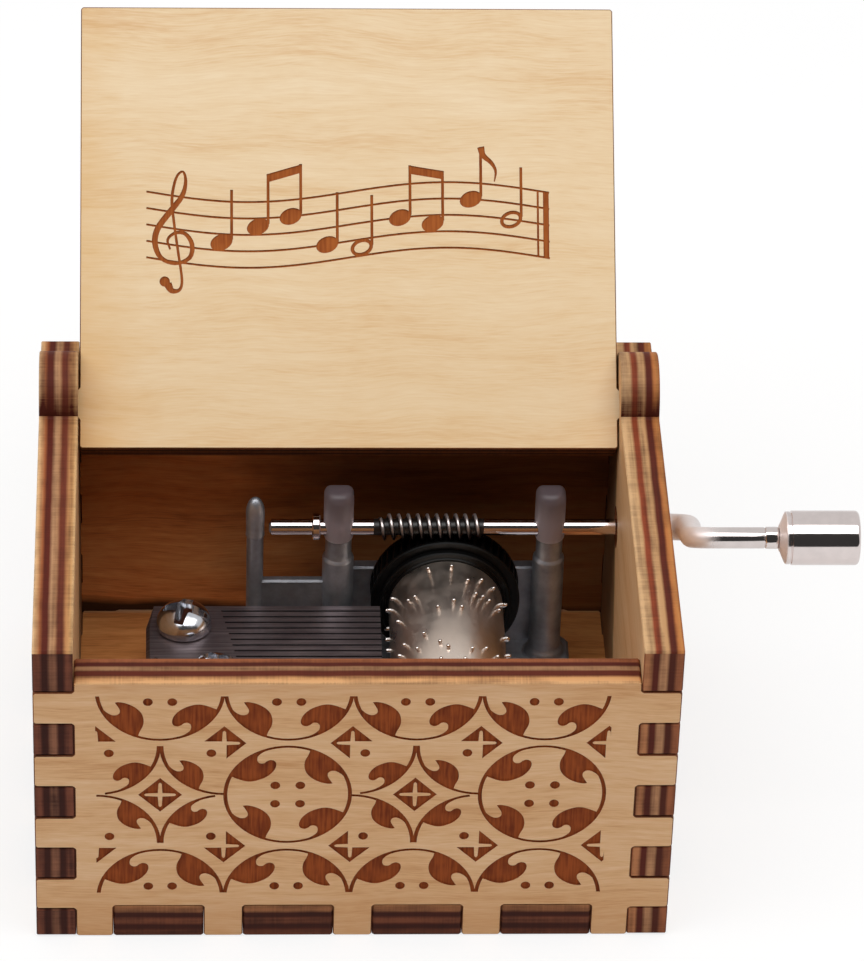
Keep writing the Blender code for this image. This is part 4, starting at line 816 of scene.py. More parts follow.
post += list(zip(POST_SHOULDER + POST_TIP * np.sin(crown), 0.98 * np.cos(crown)))
casting.append(turned(post, "Z", (END_POST_X, SHAFT_Y, 0), 40))
# The comb's seat, the arbor's rear wall, the low wall to the end post and the columns' webs.
casting.append(bar((-20.3, -8.94, WALL_FOOT), (-10.0, 7.2, 14.047), 0.5))
arbor_hole = disc((BARREL_X, BARREL_Z), ARBOR_BORE)
rear_wall = [(-2.31, WALL_FOOT), (22.45, WALL_FOOT), (22.45, WALL_TOP), (-2.31, WALL_TOP)]
casting.append(upright(rear_wall, 13.9, 12.5, holes=[arbor_hole]))
low_wall = [(END_POST_X, WALL_FOOT), (COLUMNS_X[0], WALL_FOOT), (COLUMNS_X[0], WALL_TOP),
            (END_POST_X, WALL_TOP)]
casting.append(upright(low_wall, 11.2, 10.2))
casting += [bar((x - 0.9, SHAFT_Y, WALL_FOOT), (x + 0.9, 13.6, WALL_TOP - 0.3)) for x in COLUMNS_X]
bearing = [(BARREL_X - 3.2, WALL_FOOT), (BARREL_X + 3.2, WALL_FOOT),
           *arc((BARREL_X, BARREL_Z), 2.4, 0, 180, 20).tolist()]
casting.append(upright(bearing, -12.35, -14.05, holes=[arbor_hole]))
piece = put("frame_casting", together(casting), [zinc], 40)
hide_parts("movement_frame")
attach(piece, "box")


# Comb
# Hardened steel, ground flat, with eighteen teeth sawn apart. The teeth are thinned below, the root
# is thick, and the left top edge has a bright bevel. Two screws hold it to the casting.
COMB_LEFT, COMB_TIP, COMB_FRONT, COMB_BACK, COMB_TOP = -21.0, 3.45, -9.24, 7.5, 16.107
TOOTH_PITCH, TOOTH_SLOT = 0.94, 0.18
TOOTH_THICK, ROOT_THICK, ROOT_DROP = 0.85, 1.3, 0.7
# A slot at the very back would be this long, and they grow shorter over the eighteen teeth.
SLOT_LONGEST, SLOT_FALL = 16.8, 3.4
CUT_ALONG, CUT_ACROSS = 0.8, 3.3
BEVEL_ALONG, BEVEL_DOWN = 0.36, 0.32
SCREW_PASSAGE = 1.45
COMB_SCREWS = {"rear": (-17.07, 4.2), "front": (-13.9, -4.6)}

comb_steel, tree, shader = finish("comb steel, ground", Metallic=0.9)
place = add(tree, "ShaderNodeTexCoord").outputs["Object"]
brushed = add(tree, "ShaderNodeMapping", {"Vector": place, "Scale": (140.0, 3600.0, 300.0)})
scratches = add(tree, "ShaderNodeTexNoise", {"Vector": brushed.outputs[0], "Scale": 1.0, "Detail": 4.0})
smear = add(tree, "ShaderNodeTexNoise", {"Vector": place, "Scale": 260.0, "Detail": 3.0})
mixed = add(tree, "ShaderNodeMath", {0: scratches.outputs[0], 1: 0.6, 2: 0.0}, operation="MULTIPLY_ADD")
mixed = add(tree, "ShaderNodeMath", {0: smear.outputs[0], 1: 0.4, 2: mixed.outputs[0]},
            operation="MULTIPLY_ADD")
shade = add(tree, "ShaderNodeValToRGB", {"Fac": mixed.outputs[0]},
            stops=[(0.36, "#665A5C"), (0.52, "#7E7273"), (0.66, "#96898A")])
tree.links.new(shade.outputs[0], shader.inputs["Base Color"])
gloss = add(tree, "ShaderNodeMapRange", {"Value": mixed.outputs[0], "To Min": 0.5, "To Max": 0.3})
tree.links.new(gloss.outputs[0], shader.inputs["Roughness"])
bump = add(tree, "ShaderNodeBump", {"Height": scratches.outputs[0], "Strength": 0.4, "Distance": 0.01 * MM})
tree.links.new(bump.outputs[0], shader.inputs["Normal"])

comb_outline = [(COMB_LEFT, COMB_FRONT), (COMB_TIP, COMB_FRONT)]
for number in range(17, 0, -1):
    low, root = COMB_BACK - number * TOOTH_PITCH, COMB_TIP - (SLOT_LONGEST - SLOT_FALL * number / 18)
    high = low + TOOTH_SLOT
    comb_outline += [(COMB_TIP, low), (root, low), (root, high), (COMB_TIP, high)]
comb_outline += [(COMB_TIP, COMB_BACK), (COMB_LEFT + CUT_ALONG, COMB_BACK),
                 (COMB_LEFT, COMB_BACK - CUT_ACROSS)]
passages = [disc(place, SCREW_PASSAGE) for place in COMB_SCREWS.values()]
punch = disc((-20.0, -1.3), 0.28, 12)
rim = 0.03
teeth = sheet(comb_outline, TOOTH_THICK, holes=passages, bevel=rim, marks=[punch], depth=0.2,
              edge_kind=lambda u, v: np.where(
                  (u > COMB_LEFT + 1) & (abs(v - COMB_FRONT) > 0.1), 3, 1))
# The left edge's two upper rows are drawn in and down, as the bevel.
points = teeth[0]
left_rim = points[:, 0] < COMB_LEFT + 0.1
points[left_rim & (points[:, 2] < 0.01), 0] += BEVEL_ALONG
points[left_rim & (abs(points[:, 2] - rim) < 0.01), 2] += BEVEL_DOWN
root = sheet([(-20.45, -9.09), (-9.8, -9.09), (-13.3, 7.35), (-19.6, 7.35), (-20.45, 4.2)],
             ROOT_THICK, bevel=0.1, holes=passages)
comb = together([placed(teeth, lambda u, v, w: (u, v, COMB_TOP - w)),
                 placed(root, lambda u, v, w: (u, v, COMB_TOP - ROOT_DROP - w))])
# The sawn sides of the teeth are near black: sawn steel, darkened further by painted shade in the narrow
# slots.
sawn_and_shaded, tree, shader = finish("comb steel, sawn, painted shade in slots", Metallic=0.6, Roughness=0.7, Base_Color=colour("#221D1F"))
piece = put("comb_plate", comb, [comb_steel, comb_steel, comb_steel, sawn_and_shaded, comb_steel])
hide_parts("comb")
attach(piece, "box")


# Comb screws and movement screws
# Plated steel. The comb's screws have round heads over it, and the movement's have flat heads let
# into the underside of the base. All have a cross recess pressed into the head.
DOME_EDGE, DOME_RISE, DOME_RADIUS = 0.35, 2.2, 2.9
DOME_CROSS, DOME_CROSS_BAR, DOME_CROSS_DEEP = 4.3, 1.0, 1.35
DOME_TURNS = {"rear": -16, "front": 30}
COMB_SHANK, SEAT_GAP = 1.25, 0.06
FLAT_RADIUS, BASE_SHANK = 2.1, 1.1
FLAT_CROSS, FLAT_CROSS_BAR, FLAT_CROSS_DEEP = 2.2, 0.6, 0.7
FLAT_SINK = 0.38
TURN_STEP, THREAD_DEPTH = 0.25, 0.14


def plated(name, pale, dark, roughness, scale=900.0, dull=None):
    """Bright plating: nearly a mirror, with faint smears that change its gloss and tone a little.

    Where dull gives two places along X in millimetres, the plating is matt up to the first of them
    and bright from the second.
    """
    material, tree, shader = finish(name, Metallic=1.0)
    place = add(tree, "ShaderNodeTexCoord").outputs["Object"]
    smear = add(tree, "ShaderNodeTexNoise", {"Vector": place, "Scale": scale, "Detail": 4.0})
    shade = add(tree, "ShaderNodeValToRGB", {"Fac": smear.outputs[0]}, stops=[(0.2, dark), (0.8, pale)])
    tree.links.new(shade.outputs[0], shader.inputs["Base Color"])
    gloss = add(tree, "ShaderNodeMapRange", {
        "Value": smear.outputs[0], "From Min": 0.3, "From Max": 0.7,
        "To Min": roughness * 1.25, "To Max": roughness * 0.8})
    if dull:
        along = add(tree, "ShaderNodeVectorMath", {0: place, 1: (1 / MM, 0, 0)}, operation="DOT_PRODUCT")
        matt = add(tree, "ShaderNodeMapRange", {
            "Value": along.outputs["Value"], "From Min": dull[0], "From Max": dull[1],
            "To Min": 0.34, "To Max": 0.0})
        gloss = add(tree, "ShaderNodeMath", {0: gloss.outputs[0], 1: matt.outputs[0]}, operation="ADD")
        metal = add(tree, "ShaderNodeMath", {0: matt.outputs[0], 1: -1.5, 2: 1.0}, operation="MULTIPLY_ADD")
        tree.links.new(metal.outputs[0], shader.inputs["Metallic"])
    tree.links.new(gloss.outputs[0], shader.inputs["Roughness"])
    return material


def cross_recess(span, width, turn=0.0):
    """A cross of two bars with its inner corners eased, as a driver's point leaves it."""
    a, b = span / 2, width / 2
    c = 1.35 * b
    corners = [(a, -b), (a, b), (c, c), (b, a), (-b, a), (-c, c), (-a, b), (-a, -b), (-c, -c),
               (-b, -a), (b, -a), (c, -c)]
    spin = np.array([[math.cos(turn), math.sin(turn)], [-math.sin(turn), math.cos(turn)]])
    return rounded(np.array(corners) @ spin, 0.12, 2)


def thread(start, radius, steps):
    """A thread's outline down a shank: it steps in and out between its crest and its root."""
    return [(start - TURN_STEP * step, radius - THREAD_DEPTH * (step % 2)) for step in range(steps)]


def screw(centre, up, head, shank, recess, recess_depth, seat):
    """A screw about an upright line; up is 1 for a head on top and -1 for one below.

    The head's top face is cut into triangles between circles and takes its height from its radius.
    """
    radii = head[:, 1]
    guides = [disc((0, 0), radius, 48) for radius in radii[1:-1]]
    points, faces, marked = triangles(disc((0, 0), radii[0], 48), marks=[recess], guides=guides)
    height = np.interp(np.linalg.norm(points, axis=1), radii[::-1], head[::-1, 0])
    places, faces, kinds = relief(points, faces, marked, -height, recess_depth, 0.97)
    floor = head[-1, 0] - recess_depth
    places[len(points):, 2] = -floor
    top = (places * (1, 1, -1), faces, kinds * 0, places[faces][..., :2])
    body = turned(shank, "Z", (0, 0, 0), 48)
    return placed(together([top, body]), lambda u, v, w: (centre[0] + u, centre[1] + v, seat + up * w))


chrome = plated("steel, bright plated", "#DCDDE2", "#BFC0C6", 0.17)
quarter = np.radians(np.linspace(0, 90, 9))
dome = np.column_stack([DOME_EDGE + DOME_RISE * np.sin(quarter), DOME_RADIUS * np.cos(quarter)])
shank = [(DOME_EDGE, DOME_RADIUS), (0.12, DOME_RADIUS), (0.0, DOME_RADIUS - 0.12), (0.0, COMB_SHANK),
         (-SEAT_GAP, COMB_SHANK), *thread(-0.3, COMB_SHANK, 18), (-4.9, 0.9), (-5.2, 0.6), (-5.2, 0)]
for name, place in COMB_SCREWS.items():
    recess = cross_recess(DOME_CROSS, DOME_CROSS_BAR, math.radians(DOME_TURNS[name]))
    shape = screw(place, 1, dome, shank, recess, DOME_CROSS_DEEP, COMB_TOP + SEAT_GAP)
    piece = put(f"comb_fixing_{name}", shape, [chrome], 40)
    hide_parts(f"comb_screw_{name}")
    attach(piece, "box")

flat = np.array([(0.0, FLAT_RADIUS), (0.06, 1.9), (0.08, 1.2), (0.08, 0.0)])
shank = [(0.0, FLAT_RADIUS), (-1.2, BASE_SHANK), *thread(-1.3, BASE_SHANK, 24), (-7.2, 0.95),
         (-8.1, 0.5), (-8.1, 0)]
recess = cross_recess(FLAT_CROSS, FLAT_CROSS_BAR)
for name, place in FIXINGS.items():
    shape = screw(place, -1, flat, shank, recess, FLAT_CROSS_DEEP, FLAT_SINK)
    piece = put(f"base_fixing_{name}", shape, [chrome], 40)
    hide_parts(f"movement_screw_{name}")
    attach(piece, "box")


# Tuning weights
# Lead, one small block soldered under each of the six longest teeth, shorter from tooth to tooth.
WEIGHT_LONGEST, WEIGHT_STEP, WEIGHT_WIDE, WEIGHT_INSET = 2.9, 0.3, 0.76, 0.6
WEIGHT_FOOT, WEIGHT_TOP = 13.9, 15.19

lead, tree, shader = finish("lead, dull", Metallic=0.7, Roughness=0.62)
place = add(tree, "ShaderNodeTexCoord").outputs["Object"]
cloud = add(tree, "ShaderNodeTexNoise", {"Vector": place, "Scale": 700.0, "Detail": 4.0})
shade = add(tree, "ShaderNodeValToRGB", {"Fac": cloud.outputs[0]},
            stops=[(0.35, "#55585E"), (0.65, "#7C7F86")])
tree.links.new(shade.outputs[0], shader.inputs["Base Color"])
for number in range(6):
    right_end, far = COMB_TIP - WEIGHT_INSET, COMB_BACK - number * TOOTH_PITCH
    left_end = right_end - WEIGHT_LONGEST + WEIGHT_STEP * number
    shape = bar((left_end, far - WEIGHT_WIDE, WEIGHT_FOOT), (right_end, far, WEIGHT_TOP), 0.12, 0.1)
    piece = put(f"lead_block_{number + 1}", shape, [lead])
    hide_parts(f"tuning_weight_{number + 1}")
    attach(piece, "box")


# Worm wheel
# Moulded black acetal with forty-eight leaning teeth, pressed on the arbor behind the barrel. It is
# glossy, and rings from the mould show on its face.
WHEEL_FRONT, WHEEL_WIDE, TEETH = 9.2, 3.0, 48
TOOTH_TIP, TOOTH_ROOT, PITCH_RADIUS, HUB_RADIUS = 7.82, 7.24, 7.563, 6.5
LEAD, WORM_PITCH_RADIUS = 0.99, 1.23
# A tooth's outline: shares of its pitch round the wheel, and of its height.
TOOTH_SHAPE = [(-0.5, 0.0), (-0.31, 0.0), (-0.24, 0.35), (-0.17, 0.85), (-0.12, 1.0), (0.12, 1.0),
               (0.17, 0.85), (0.24, 0.35), (0.31, 0.0)]

acetal, tree, shader = finish(
    "acetal, moulded black", Base_Color=colour("#050505"), Roughness=0.4, Specular_IOR_Level=0.22)
place = add(tree, "ShaderNodeTexCoord").outputs["Object"]
grain = add(tree, "ShaderNodeTexNoise", {"Vector": place, "Scale": 900.0, "Detail": 3.0})
gloss = add(tree, "ShaderNodeMapRange", {"Value": grain.outputs[0], "To Min": 0.3, "To Max": 0.44})
tree.links.new(gloss.outputs[0], shader.inputs["Roughness"])

shares = np.array(TOOTH_SHAPE)
angles = (math.tau * (np.arange(TEETH)[:, None] + shares[:, 0]) / TEETH).ravel()
rise = np.tile(shares[:, 1], TEETH)
# Thin flanges close the teeth at both sides, so the rim looks smooth from the front.
depth_rows = np.array([0.0, 0.0, 0.12, 0.4, 0.42, 2.58, 2.6, 2.88, 3.0, 3.0]) + WHEEL_FRONT
toothed = np.array([0, 0, 0, 0, 1, 1, 0, 0, 0, 0])[:, None]
drop = np.array([0.0, 0.12, 0.0, 0.0, 0.03, 0.03, 0.0, 0.0, 0.12, 0.0])
# The teeth lean along the worm's helix: its lead over its way round, times the wheel's width, is the
# lean as a length on the wheel's pitch circle.
lean = WHEEL_WIDE * LEAD / (math.tau * WORM_PITCH_RADIUS) / PITCH_RADIUS
turn = lean * ((depth_rows - WHEEL_FRONT) / WHEEL_WIDE - 0.5)
radius = TOOTH_TIP - (TOOTH_TIP - TOOTH_ROOT) * (1 - rise[None, :]) * toothed - drop[:, None]
radius[[0, -1]] = HUB_RADIUS
across = angles[None, :] + turn[:, None]
rings = np.stack([BARREL_X + radius * np.sin(across), np.broadcast_to(depth_rows[:, None], across.shape),
                  BARREL_Z + radius * np.cos(across)], -1)
front_face = [(9.3, 6.6), (9.3, 6.9), (8.72, 6.9), (8.6, 6.78), (8.6, 6.45), (8.72, 6.38),
              (8.72, 6.2), (8.6, 6.12), (8.6, 1.0), (9.3, 1.0)]
back_face = [(WHEEL_FRONT, HUB_RADIUS), (12.2, HUB_RADIUS), (11.7, 6.2), (11.7, 2.6), (12.2, 2.3),
             (12.2, 1.0), (12.1, 1.0)]
wheel = together([skin(rings), turned(front_face, "Y", (BARREL_X, 0, BARREL_Z), 96),
                  turned(back_face, "Y", (BARREL_X, 0, BARREL_Z), 96)])
piece = put("wheel", wheel, [acetal], 35)
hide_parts("worm_wheel")
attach(piece, "barrel")


# Pin barrel
# A nickel-plated tube, filled so that it doesn't ring, with a short steel pin for each note. The
# pins stand on eighteen tracks, one under the middle of each tooth.
BARREL_FRONT, BARREL_END, BARREL_RADIUS, PIN_TOP = -11.1, 8.54, 6.0, 6.58
BEATS, TRACKS = 48, 18

# The tube was polished on a lathe, so it blurs what it mirrors mostly along its length.
nickel = plated("nickel, plated tube", "#E4D5C9", "#CCBCAF", 0.34, 500.0)
tree = nickel.node_tree
shader = tree.nodes["Principled BSDF"]
shader.inputs["Anisotropic"].default_value = 0.55
shader.inputs["Anisotropic Rotation"].default_value = 0.25
grain = add(tree, "ShaderNodeTangent", direction_type="UV_MAP", uv_map="UVMap")
tree.links.new(grain.outputs[0], shader.inputs["Tangent"])
pin_steel = plated("steel, pins", "#EEE6E0", "#D8D0CA", 0.18)
barrel_profile = [(BARREL_FRONT, 1.0), (BARREL_FRONT, 5.85), (BARREL_FRONT + 0.04, 5.94),
                  (BARREL_FRONT + 0.15, BARREL_RADIUS), (BARREL_END - 0.15, BARREL_RADIUS),
                  (BARREL_END, 5.9), (BARREL_END, 1.0)]
tube = turned(barrel_profile + barrel_profile[:1], "Y", (BARREL_X, 0, BARREL_Z), 128)
first = [(beat, (7 * beat + beat * beat // 5) % TRACKS) for beat in range(BEATS)]
second = [(beat, (track + TRACKS // 3) % TRACKS) for beat, track in first[::2]]
third = [(beat, (track + TRACKS // 2) % TRACKS) for beat, track in first[1:BEATS:3]]
beat, track = np.array(first + second + third).T
turn = math.tau * (beat + 0.5) / BEATS
y = COMB_BACK - track * TOOTH_PITCH - (TOOTH_PITCH - TOOTH_SLOT) / 2
out = np.stack([np.sin(turn), 0 * turn, np.cos(turn)], 1)
side = np.stack([np.cos(turn), 0 * turn, -np.sin(turn)], 1)
# A pin is five rings of eight points, square to its own line out of the barrel: a slim cone with a
# round tip.
height, width = np.array([(5.7, 0.23), (6.3, 0.22), (6.46, 0.2), (6.55, 0.12), (PIN_TOP, 0.0)]).T
corner = math.tau * np.arange(8) / 8
spread = np.cos(corner)[:, None, None] * np.array([0, 1, 0]) + np.sin(corner)[:, None, None] * side
rings = height[:, None, None, None] * out + width[:, None, None, None] * spread
# The pins lean by a hair, each its own way, as pins do that were set by hand.
lean = 0.05 * np.stack([np.sin(2.3 * track + beat), 0.6 * np.cos(3.1 * beat), np.cos(1.7 * track)], 1)
rings = rings + lean * (height[:, None, None, None] - BARREL_RADIUS).clip(0)
rings = rings + np.array([BARREL_X, 0, BARREL_Z]) + y[:, None] * np.array([0, 1, 0])
pins = together([skin(rings[:, :, number]) for number in range(len(beat))])
pins = (pins[0], pins[1], pins[2] + 1, pins[3])
piece = put("barrel_with_pins", together([tube, pins]), [nickel, pin_steel], 40)
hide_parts("pin_barrel")
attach(piece, "barrel")


# Barrel end cap, arbor and clip
# A nickel disc closes the barrel's front end. The steel arbor carries barrel and wheel through both
# walls of the casting, and a sprung clip keeps it from sliding back.
ARBOR_RADIUS = 0.95
CLIP_FRONT, CLIP_THICK, CLIP_RADIUS, CLIP_BORE = -14.61, 0.5, 1.9, 1.02

cap = [(-12.0, 1.0), (-12.0, 1.9), (-11.9, 2.1), (-11.78, 2.2), (-11.78, 5.0), (-12.0, 5.2),
       (-12.0, 5.6), (-11.9, 5.72), (-11.16, 5.75), (-11.16, 1.0)]
piece = put("barrel_cap", turned(cap + cap[:1], "Y", (BARREL_X, 0, BARREL_Z), 96), [nickel], 35)
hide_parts("barrel_end_cap")
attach(piece, "barrel")

arbor = [(-15.21, 0), (-15.21, 0.7), (-15.0, ARBOR_RADIUS), (14.3, ARBOR_RADIUS), (14.5, 0.75),
         (14.5, 0)]
piece = put("arbor", turned(arbor, "Y", (BARREL_X, 0, BARREL_Z), 40), [chrome], 35)
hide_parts("barrel_arbor")
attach(piece, "barrel")

clip = np.concatenate([arc((0, 0), CLIP_RADIUS, -60, 240, 30), arc((0, 0), CLIP_BORE, 240, -60, 24)])
clip = placed(sheet(clip, CLIP_THICK, bevel=0.06),
              lambda u, v, w: (BARREL_X + u, CLIP_FRONT + w, BARREL_Z + v))
piece = put("clip", clip, [chrome], 35)
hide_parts("arbor_clip")
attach(piece, "barrel")


# Crank shaft, worm and thrust collar
# Plated steel rod with a right-handed thread rolled into its middle, which turns the wheel. The
# pressed collar stops the shaft from moving out.
SHAFT, THREAD_TIP = 0.86, 1.4
THREAD_START, TURNS = 2.925, 11
SHAFT_LEFT, SHAFT_RIGHT = -8.24, 34.34
SHAFT_SIDES = 40

# The thread's ridge follows the phase, the place along the shaft in leads less the share of a turn
# round it. The ridge rises, stays and falls over the first half of each phase, and fades in and out
# over half a turn at its ends.
places = np.linspace(THREAD_START - 1.1, THREAD_START + 13.1 * LEAD, 285)
angles = math.tau * np.arange(SHAFT_SIDES) / SHAFT_SIDES
phase = (places[:, None] - THREAD_START) / LEAD - angles[None, :] / math.tau
share = phase % 1
turns = phase - share + angles[None, :] / math.tau
fade = np.clip(np.minimum(2 * turns, 2 * (TURNS - turns)), 0, 1)
ridge = np.clip(np.minimum(share / 0.15, (0.5 - share) / 0.15), 0, 1)
radius = SHAFT + (THREAD_TIP - SHAFT) * fade * ridge ** 0.8
left_end = np.array([(SHAFT_LEFT, 0.0), (SHAFT_LEFT, 0.6), (SHAFT_LEFT + 0.25, SHAFT)])
right_end = np.array([(SHAFT_RIGHT, SHAFT), (SHAFT_RIGHT, 0.0)])
places = np.concatenate([left_end[:, 0], places, right_end[:, 0]])
radius = np.concatenate([np.repeat(left_end[:, 1:], SHAFT_SIDES, 1), radius,
                         np.repeat(right_end[:, 1:], SHAFT_SIDES, 1)])
rings = np.stack([np.broadcast_to(places[:, None], radius.shape), SHAFT_Y + radius * np.cos(angles),
                  SHAFT_Z + radius * np.sin(angles)], -1)
bright = plated("steel, nickel plated", "#EADEDB", "#DCD1CE", 0.08, 700.0)

# Grease fills the thread's grooves. The crests' colour runs from dark on their lower half to pale on top,
# partly grease but mostly painted shade and a painted dark reflection, so they shine only on top.
crest_painted_shade, tree, shader = finish("steel thread, painted shade below", Metallic=0.85, Roughness=0.3)
place = add(tree, "ShaderNodeTexCoord").outputs["Object"]
height = add(tree, "ShaderNodeVectorMath", {0: place, 1: (0, 0, 1 / MM)}, operation="DOT_PRODUCT")
blobs = add(tree, "ShaderNodeTexNoise", {"Vector": place, "Scale": 900.0, "Detail": 2.0})
level = add(tree, "ShaderNodeMath", {0: blobs.outputs[0], 1: 1.0, 2: height.outputs["Value"]},
            operation="MULTIPLY_ADD")
level = add(tree, "ShaderNodeMapRange", {
    "Value": level.outputs[0], "From Min": SHAFT_Z - 0.1, "From Max": SHAFT_Z + 1.6})
shade = add(tree, "ShaderNodeValToRGB", {"Fac": level.outputs[0]},
            stops=[(0.3, "#2A2220"), (0.95, "#D6CBC8")])
tree.links.new(shade.outputs[0], shader.inputs["Base Color"])
grease = finish("grease, dark", Base_Color=colour("#17110F"), Roughness=0.35)[0]

# Each face takes its finish from the ring it starts at: 0 bare shaft, 1 a crest, 2 a groove.
points, faces, zone, uv = skin(rings)
zone = zone.reshape(-1, SHAFT_SIDES)
crest = (ridge * fade)[:-1]
first, last = len(left_end), len(left_end) + len(crest)
threaded = places[first:last]
threaded = (threaded > THREAD_START - 0.3) & (threaded < THREAD_START + (TURNS + 0.3) * LEAD)
zone[first:last] = threaded[:, None] * np.where(crest > 0.4, 1, 2)
piece = put("worm_shaft", (points, faces, zone.ravel(), uv), [bright, crest_painted_shade, grease], 45)
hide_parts("crank_shaft")
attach(piece, "crank")

collar = [(-3.75, 0.9), (-3.75, 1.28), (-3.62, 1.42), (-3.02, 1.42), (-2.89, 1.28), (-2.89, 0.9)]
piece = put("collar", turned(collar + collar[:1], "X", (0, SHAFT_Y, SHAFT_Z)), [bright], 35)
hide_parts("thrust_collar")
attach(piece, "crank")


# Shaft bushes
# Moulded nylon, smoky and a little see-through. Each stands on a column, held by a peg inside it,
# and the shaft runs through its bore.
BUSH_HALF, BUSH_TOP, BUSH_TALL = 1.55, 28.95, 6.04
BUSH_BORE = 0.93
CROWN, FOOT_ROUND = 1.3, 0.25

# The nylon's colour is painted darker towards the top as painted shade and pale towards the foot, brightest
# at its very foot as a painted highlight, standing in for what shows through it and what it mirrors.
nylon, tree, shader = finish("nylon, smoky", Transmission_Weight=0.55, IOR=1.4)
place = add(tree, "ShaderNodeTexCoord").outputs["Object"]
cloud = add(tree, "ShaderNodeTexNoise", {"Vector": place, "Scale": 420.0, "Detail": 3.0})
height = add(tree, "ShaderNodeVectorMath", {0: place, 1: (0, 0, 1 / MM)}, operation="DOT_PRODUCT")
level = add(tree, "ShaderNodeMath", {0: cloud.outputs[0], 1: 0.6, 2: height.outputs["Value"]},
            operation="MULTIPLY_ADD")
level = add(tree, "ShaderNodeMapRange", {
    "Value": level.outputs[0], "From Min": BUSH_TOP - BUSH_TALL + 0.3, "From Max": BUSH_TOP + 0.3})
shade = add(tree, "ShaderNodeValToRGB", {"Fac": level.outputs[0]}, stops=[
    (0.0, "#F2EAEE"), (0.06, "#D2C5C9"), (0.45, "#BBAEB2"), (0.8, "#918387"), (1.0, "#6E6064")])
tree.links.new(shade.outputs[0], shader.inputs["Base Color"])
gloss = add(tree, "ShaderNodeMapRange", {"Value": cloud.outputs[0], "To Min": 0.26, "To Max": 0.4})
tree.links.new(gloss.outputs[0], shader.inputs["Roughness"])

# Seen from above, a bush is round in front and square behind. Its top is a low crown: a ring's share
# of the outline is the cosine of an angle whose sine gives its height in the crown.
bush_outline = np.concatenate([arc((0, 0), BUSH_HALF, 180, 360, 24), arc((1.1, 1.05), 0.45, 0, 90, 6),
                               arc((-1.1, 1.05), 0.45, 90, 180, 6)])
turn = np.radians(np.linspace(90, 0, 12))
shares = np.concatenate([np.cos(turn) ** 0.55, [1.0, 1.0, 0.96, 0.88, 0.0]])
depths = np.concatenate([CROWN * (1 - np.sin(turn)), [
    CROWN + 0.5, BUSH_TALL - FOOT_ROUND, BUSH_TALL - 0.06, BUSH_TALL, BUSH_TALL]])
for name, x in zip(("left", "right"), COLUMNS_X):
    flat = np.broadcast_to(depths[:, None, None], (len(depths), len(bush_outline), 1))
    rings = np.concatenate([shares[:, None, None] * bush_outline, -flat], 2)
    piece = put(f"bush_{name}", skin(rings + np.array([x, SHAFT_Y, BUSH_TOP])), [nylon], 35)
    bore = [(x - 3, 0), (x - 3, BUSH_BORE), (x + 3, BUSH_BORE), (x + 3, 0)]
    bore = put("bore", turned(bore, "X", (0, SHAFT_Y, SHAFT_Z), 40), [nylon])
    cut = piece.modifiers.new("bore", "BOOLEAN")
    cut.operation, cut.object, cut.solver = "DIFFERENCE", bore, "EXACT"
    holed = bpy.data.meshes.new_from_object(piece.evaluated_get(bpy.context.evaluated_depsgraph_get()))
    piece.modifiers.clear()
    piece.data = holed
    holed.shade_smooth()
    holed.set_sharp_from_angle(angle=math.radians(35))
    bpy.data.objects.remove(bore)
    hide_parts(f"shaft_bush_{name}")
    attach(piece, "box")


# Crank arm
# Nickel-plated steel rod, bent twice, tapering from the hub to the grip. Its end is crimped round
# the grip's pin.
ARM_START, ARM_LENGTH, ARM_RISE, BEND = 32.8, 17.0, math.radians(34), 1.9
ELBOW, WRIST = 35.5, 34.4
ARM_RADIUS, ARM_TAPER = 1.4, 0.31
CRIMP, CRIMP_END, CRIMP_RADIUS = 41.85, 43.25, 1.18
ARM_SIDES = 40
GRIP = (SHAFT_Y - ARM_LENGTH * math.cos(ARM_RISE), SHAFT_Z + ARM_LENGTH * math.sin(ARM_RISE))


def arm_line():
    """(along the shaft, out from it, radius): straight runs joined by arcs of the bend's radius."""
    stations = np.array([(ARM_START, 0), (ELBOW, 0), (WRIST, ARM_LENGTH), (CRIMP, ARM_LENGTH)])
    line = [(ARM_START, 0, ARM_RADIUS - 0.12), (ARM_START + 0.12, 0, ARM_RADIUS)]
    for before, corner, after in zip(stations, stations[1:], stations[2:]):
        back, ahead = before - corner, after - corner
        back, ahead = back / np.linalg.norm(back), ahead / np.linalg.norm(ahead)
        half = math.acos(back @ ahead) / 2
        middle = corner + (back + ahead) / np.linalg.norm(back + ahead) * BEND / math.sin(half)
        start, end = (corner + way * BEND / math.tan(half) - middle for way in (back, ahead))
        sweep = math.degrees(math.atan2(start[0] * end[1] - start[1] * end[0], start @ end))
        first = math.degrees(math.atan2(start[1], start[0]))
        bend = arc(middle, BEND, first, first + sweep, 16)
        taper = ARM_RADIUS - ARM_TAPER * np.clip(bend[:, 1] / ARM_LENGTH, 0, 1)
        line += np.column_stack([bend, taper]).tolist()
    crimp = [(CRIMP - 0.12, ARM_RADIUS - ARM_TAPER), (CRIMP, 1.0), (CRIMP + 0.08, 1.14),
             (CRIMP + 0.2, CRIMP_RADIUS), (CRIMP_END - 0.15, CRIMP_RADIUS), (CRIMP_END, 1.05)]
    return np.array(line + [(along, ARM_LENGTH, radius) for along, radius in crimp])


line = arm_line()
ahead = np.gradient(line[:, :2], axis=0)
ahead /= np.linalg.norm(ahead, axis=1, keepdims=True)
shaft_way, out_way = np.array([1, 0, 0]), np.array([0, -math.cos(ARM_RISE), math.sin(ARM_RISE)])
across = -ahead[:, 1:2] * shaft_way + ahead[:, :1] * out_way
level = np.cross(shaft_way, out_way)
middle = line[:, :1] * shaft_way + line[:, 1:2] * out_way + np.array([0, SHAFT_Y, SHAFT_Z])
angles = (math.tau * np.arange(ARM_SIDES) / ARM_SIDES)[:, None]
spokes = np.cos(angles) * across[:, None] + np.sin(angles) * level
rings = middle[:, None] + line[:, 2][:, None, None] * spokes
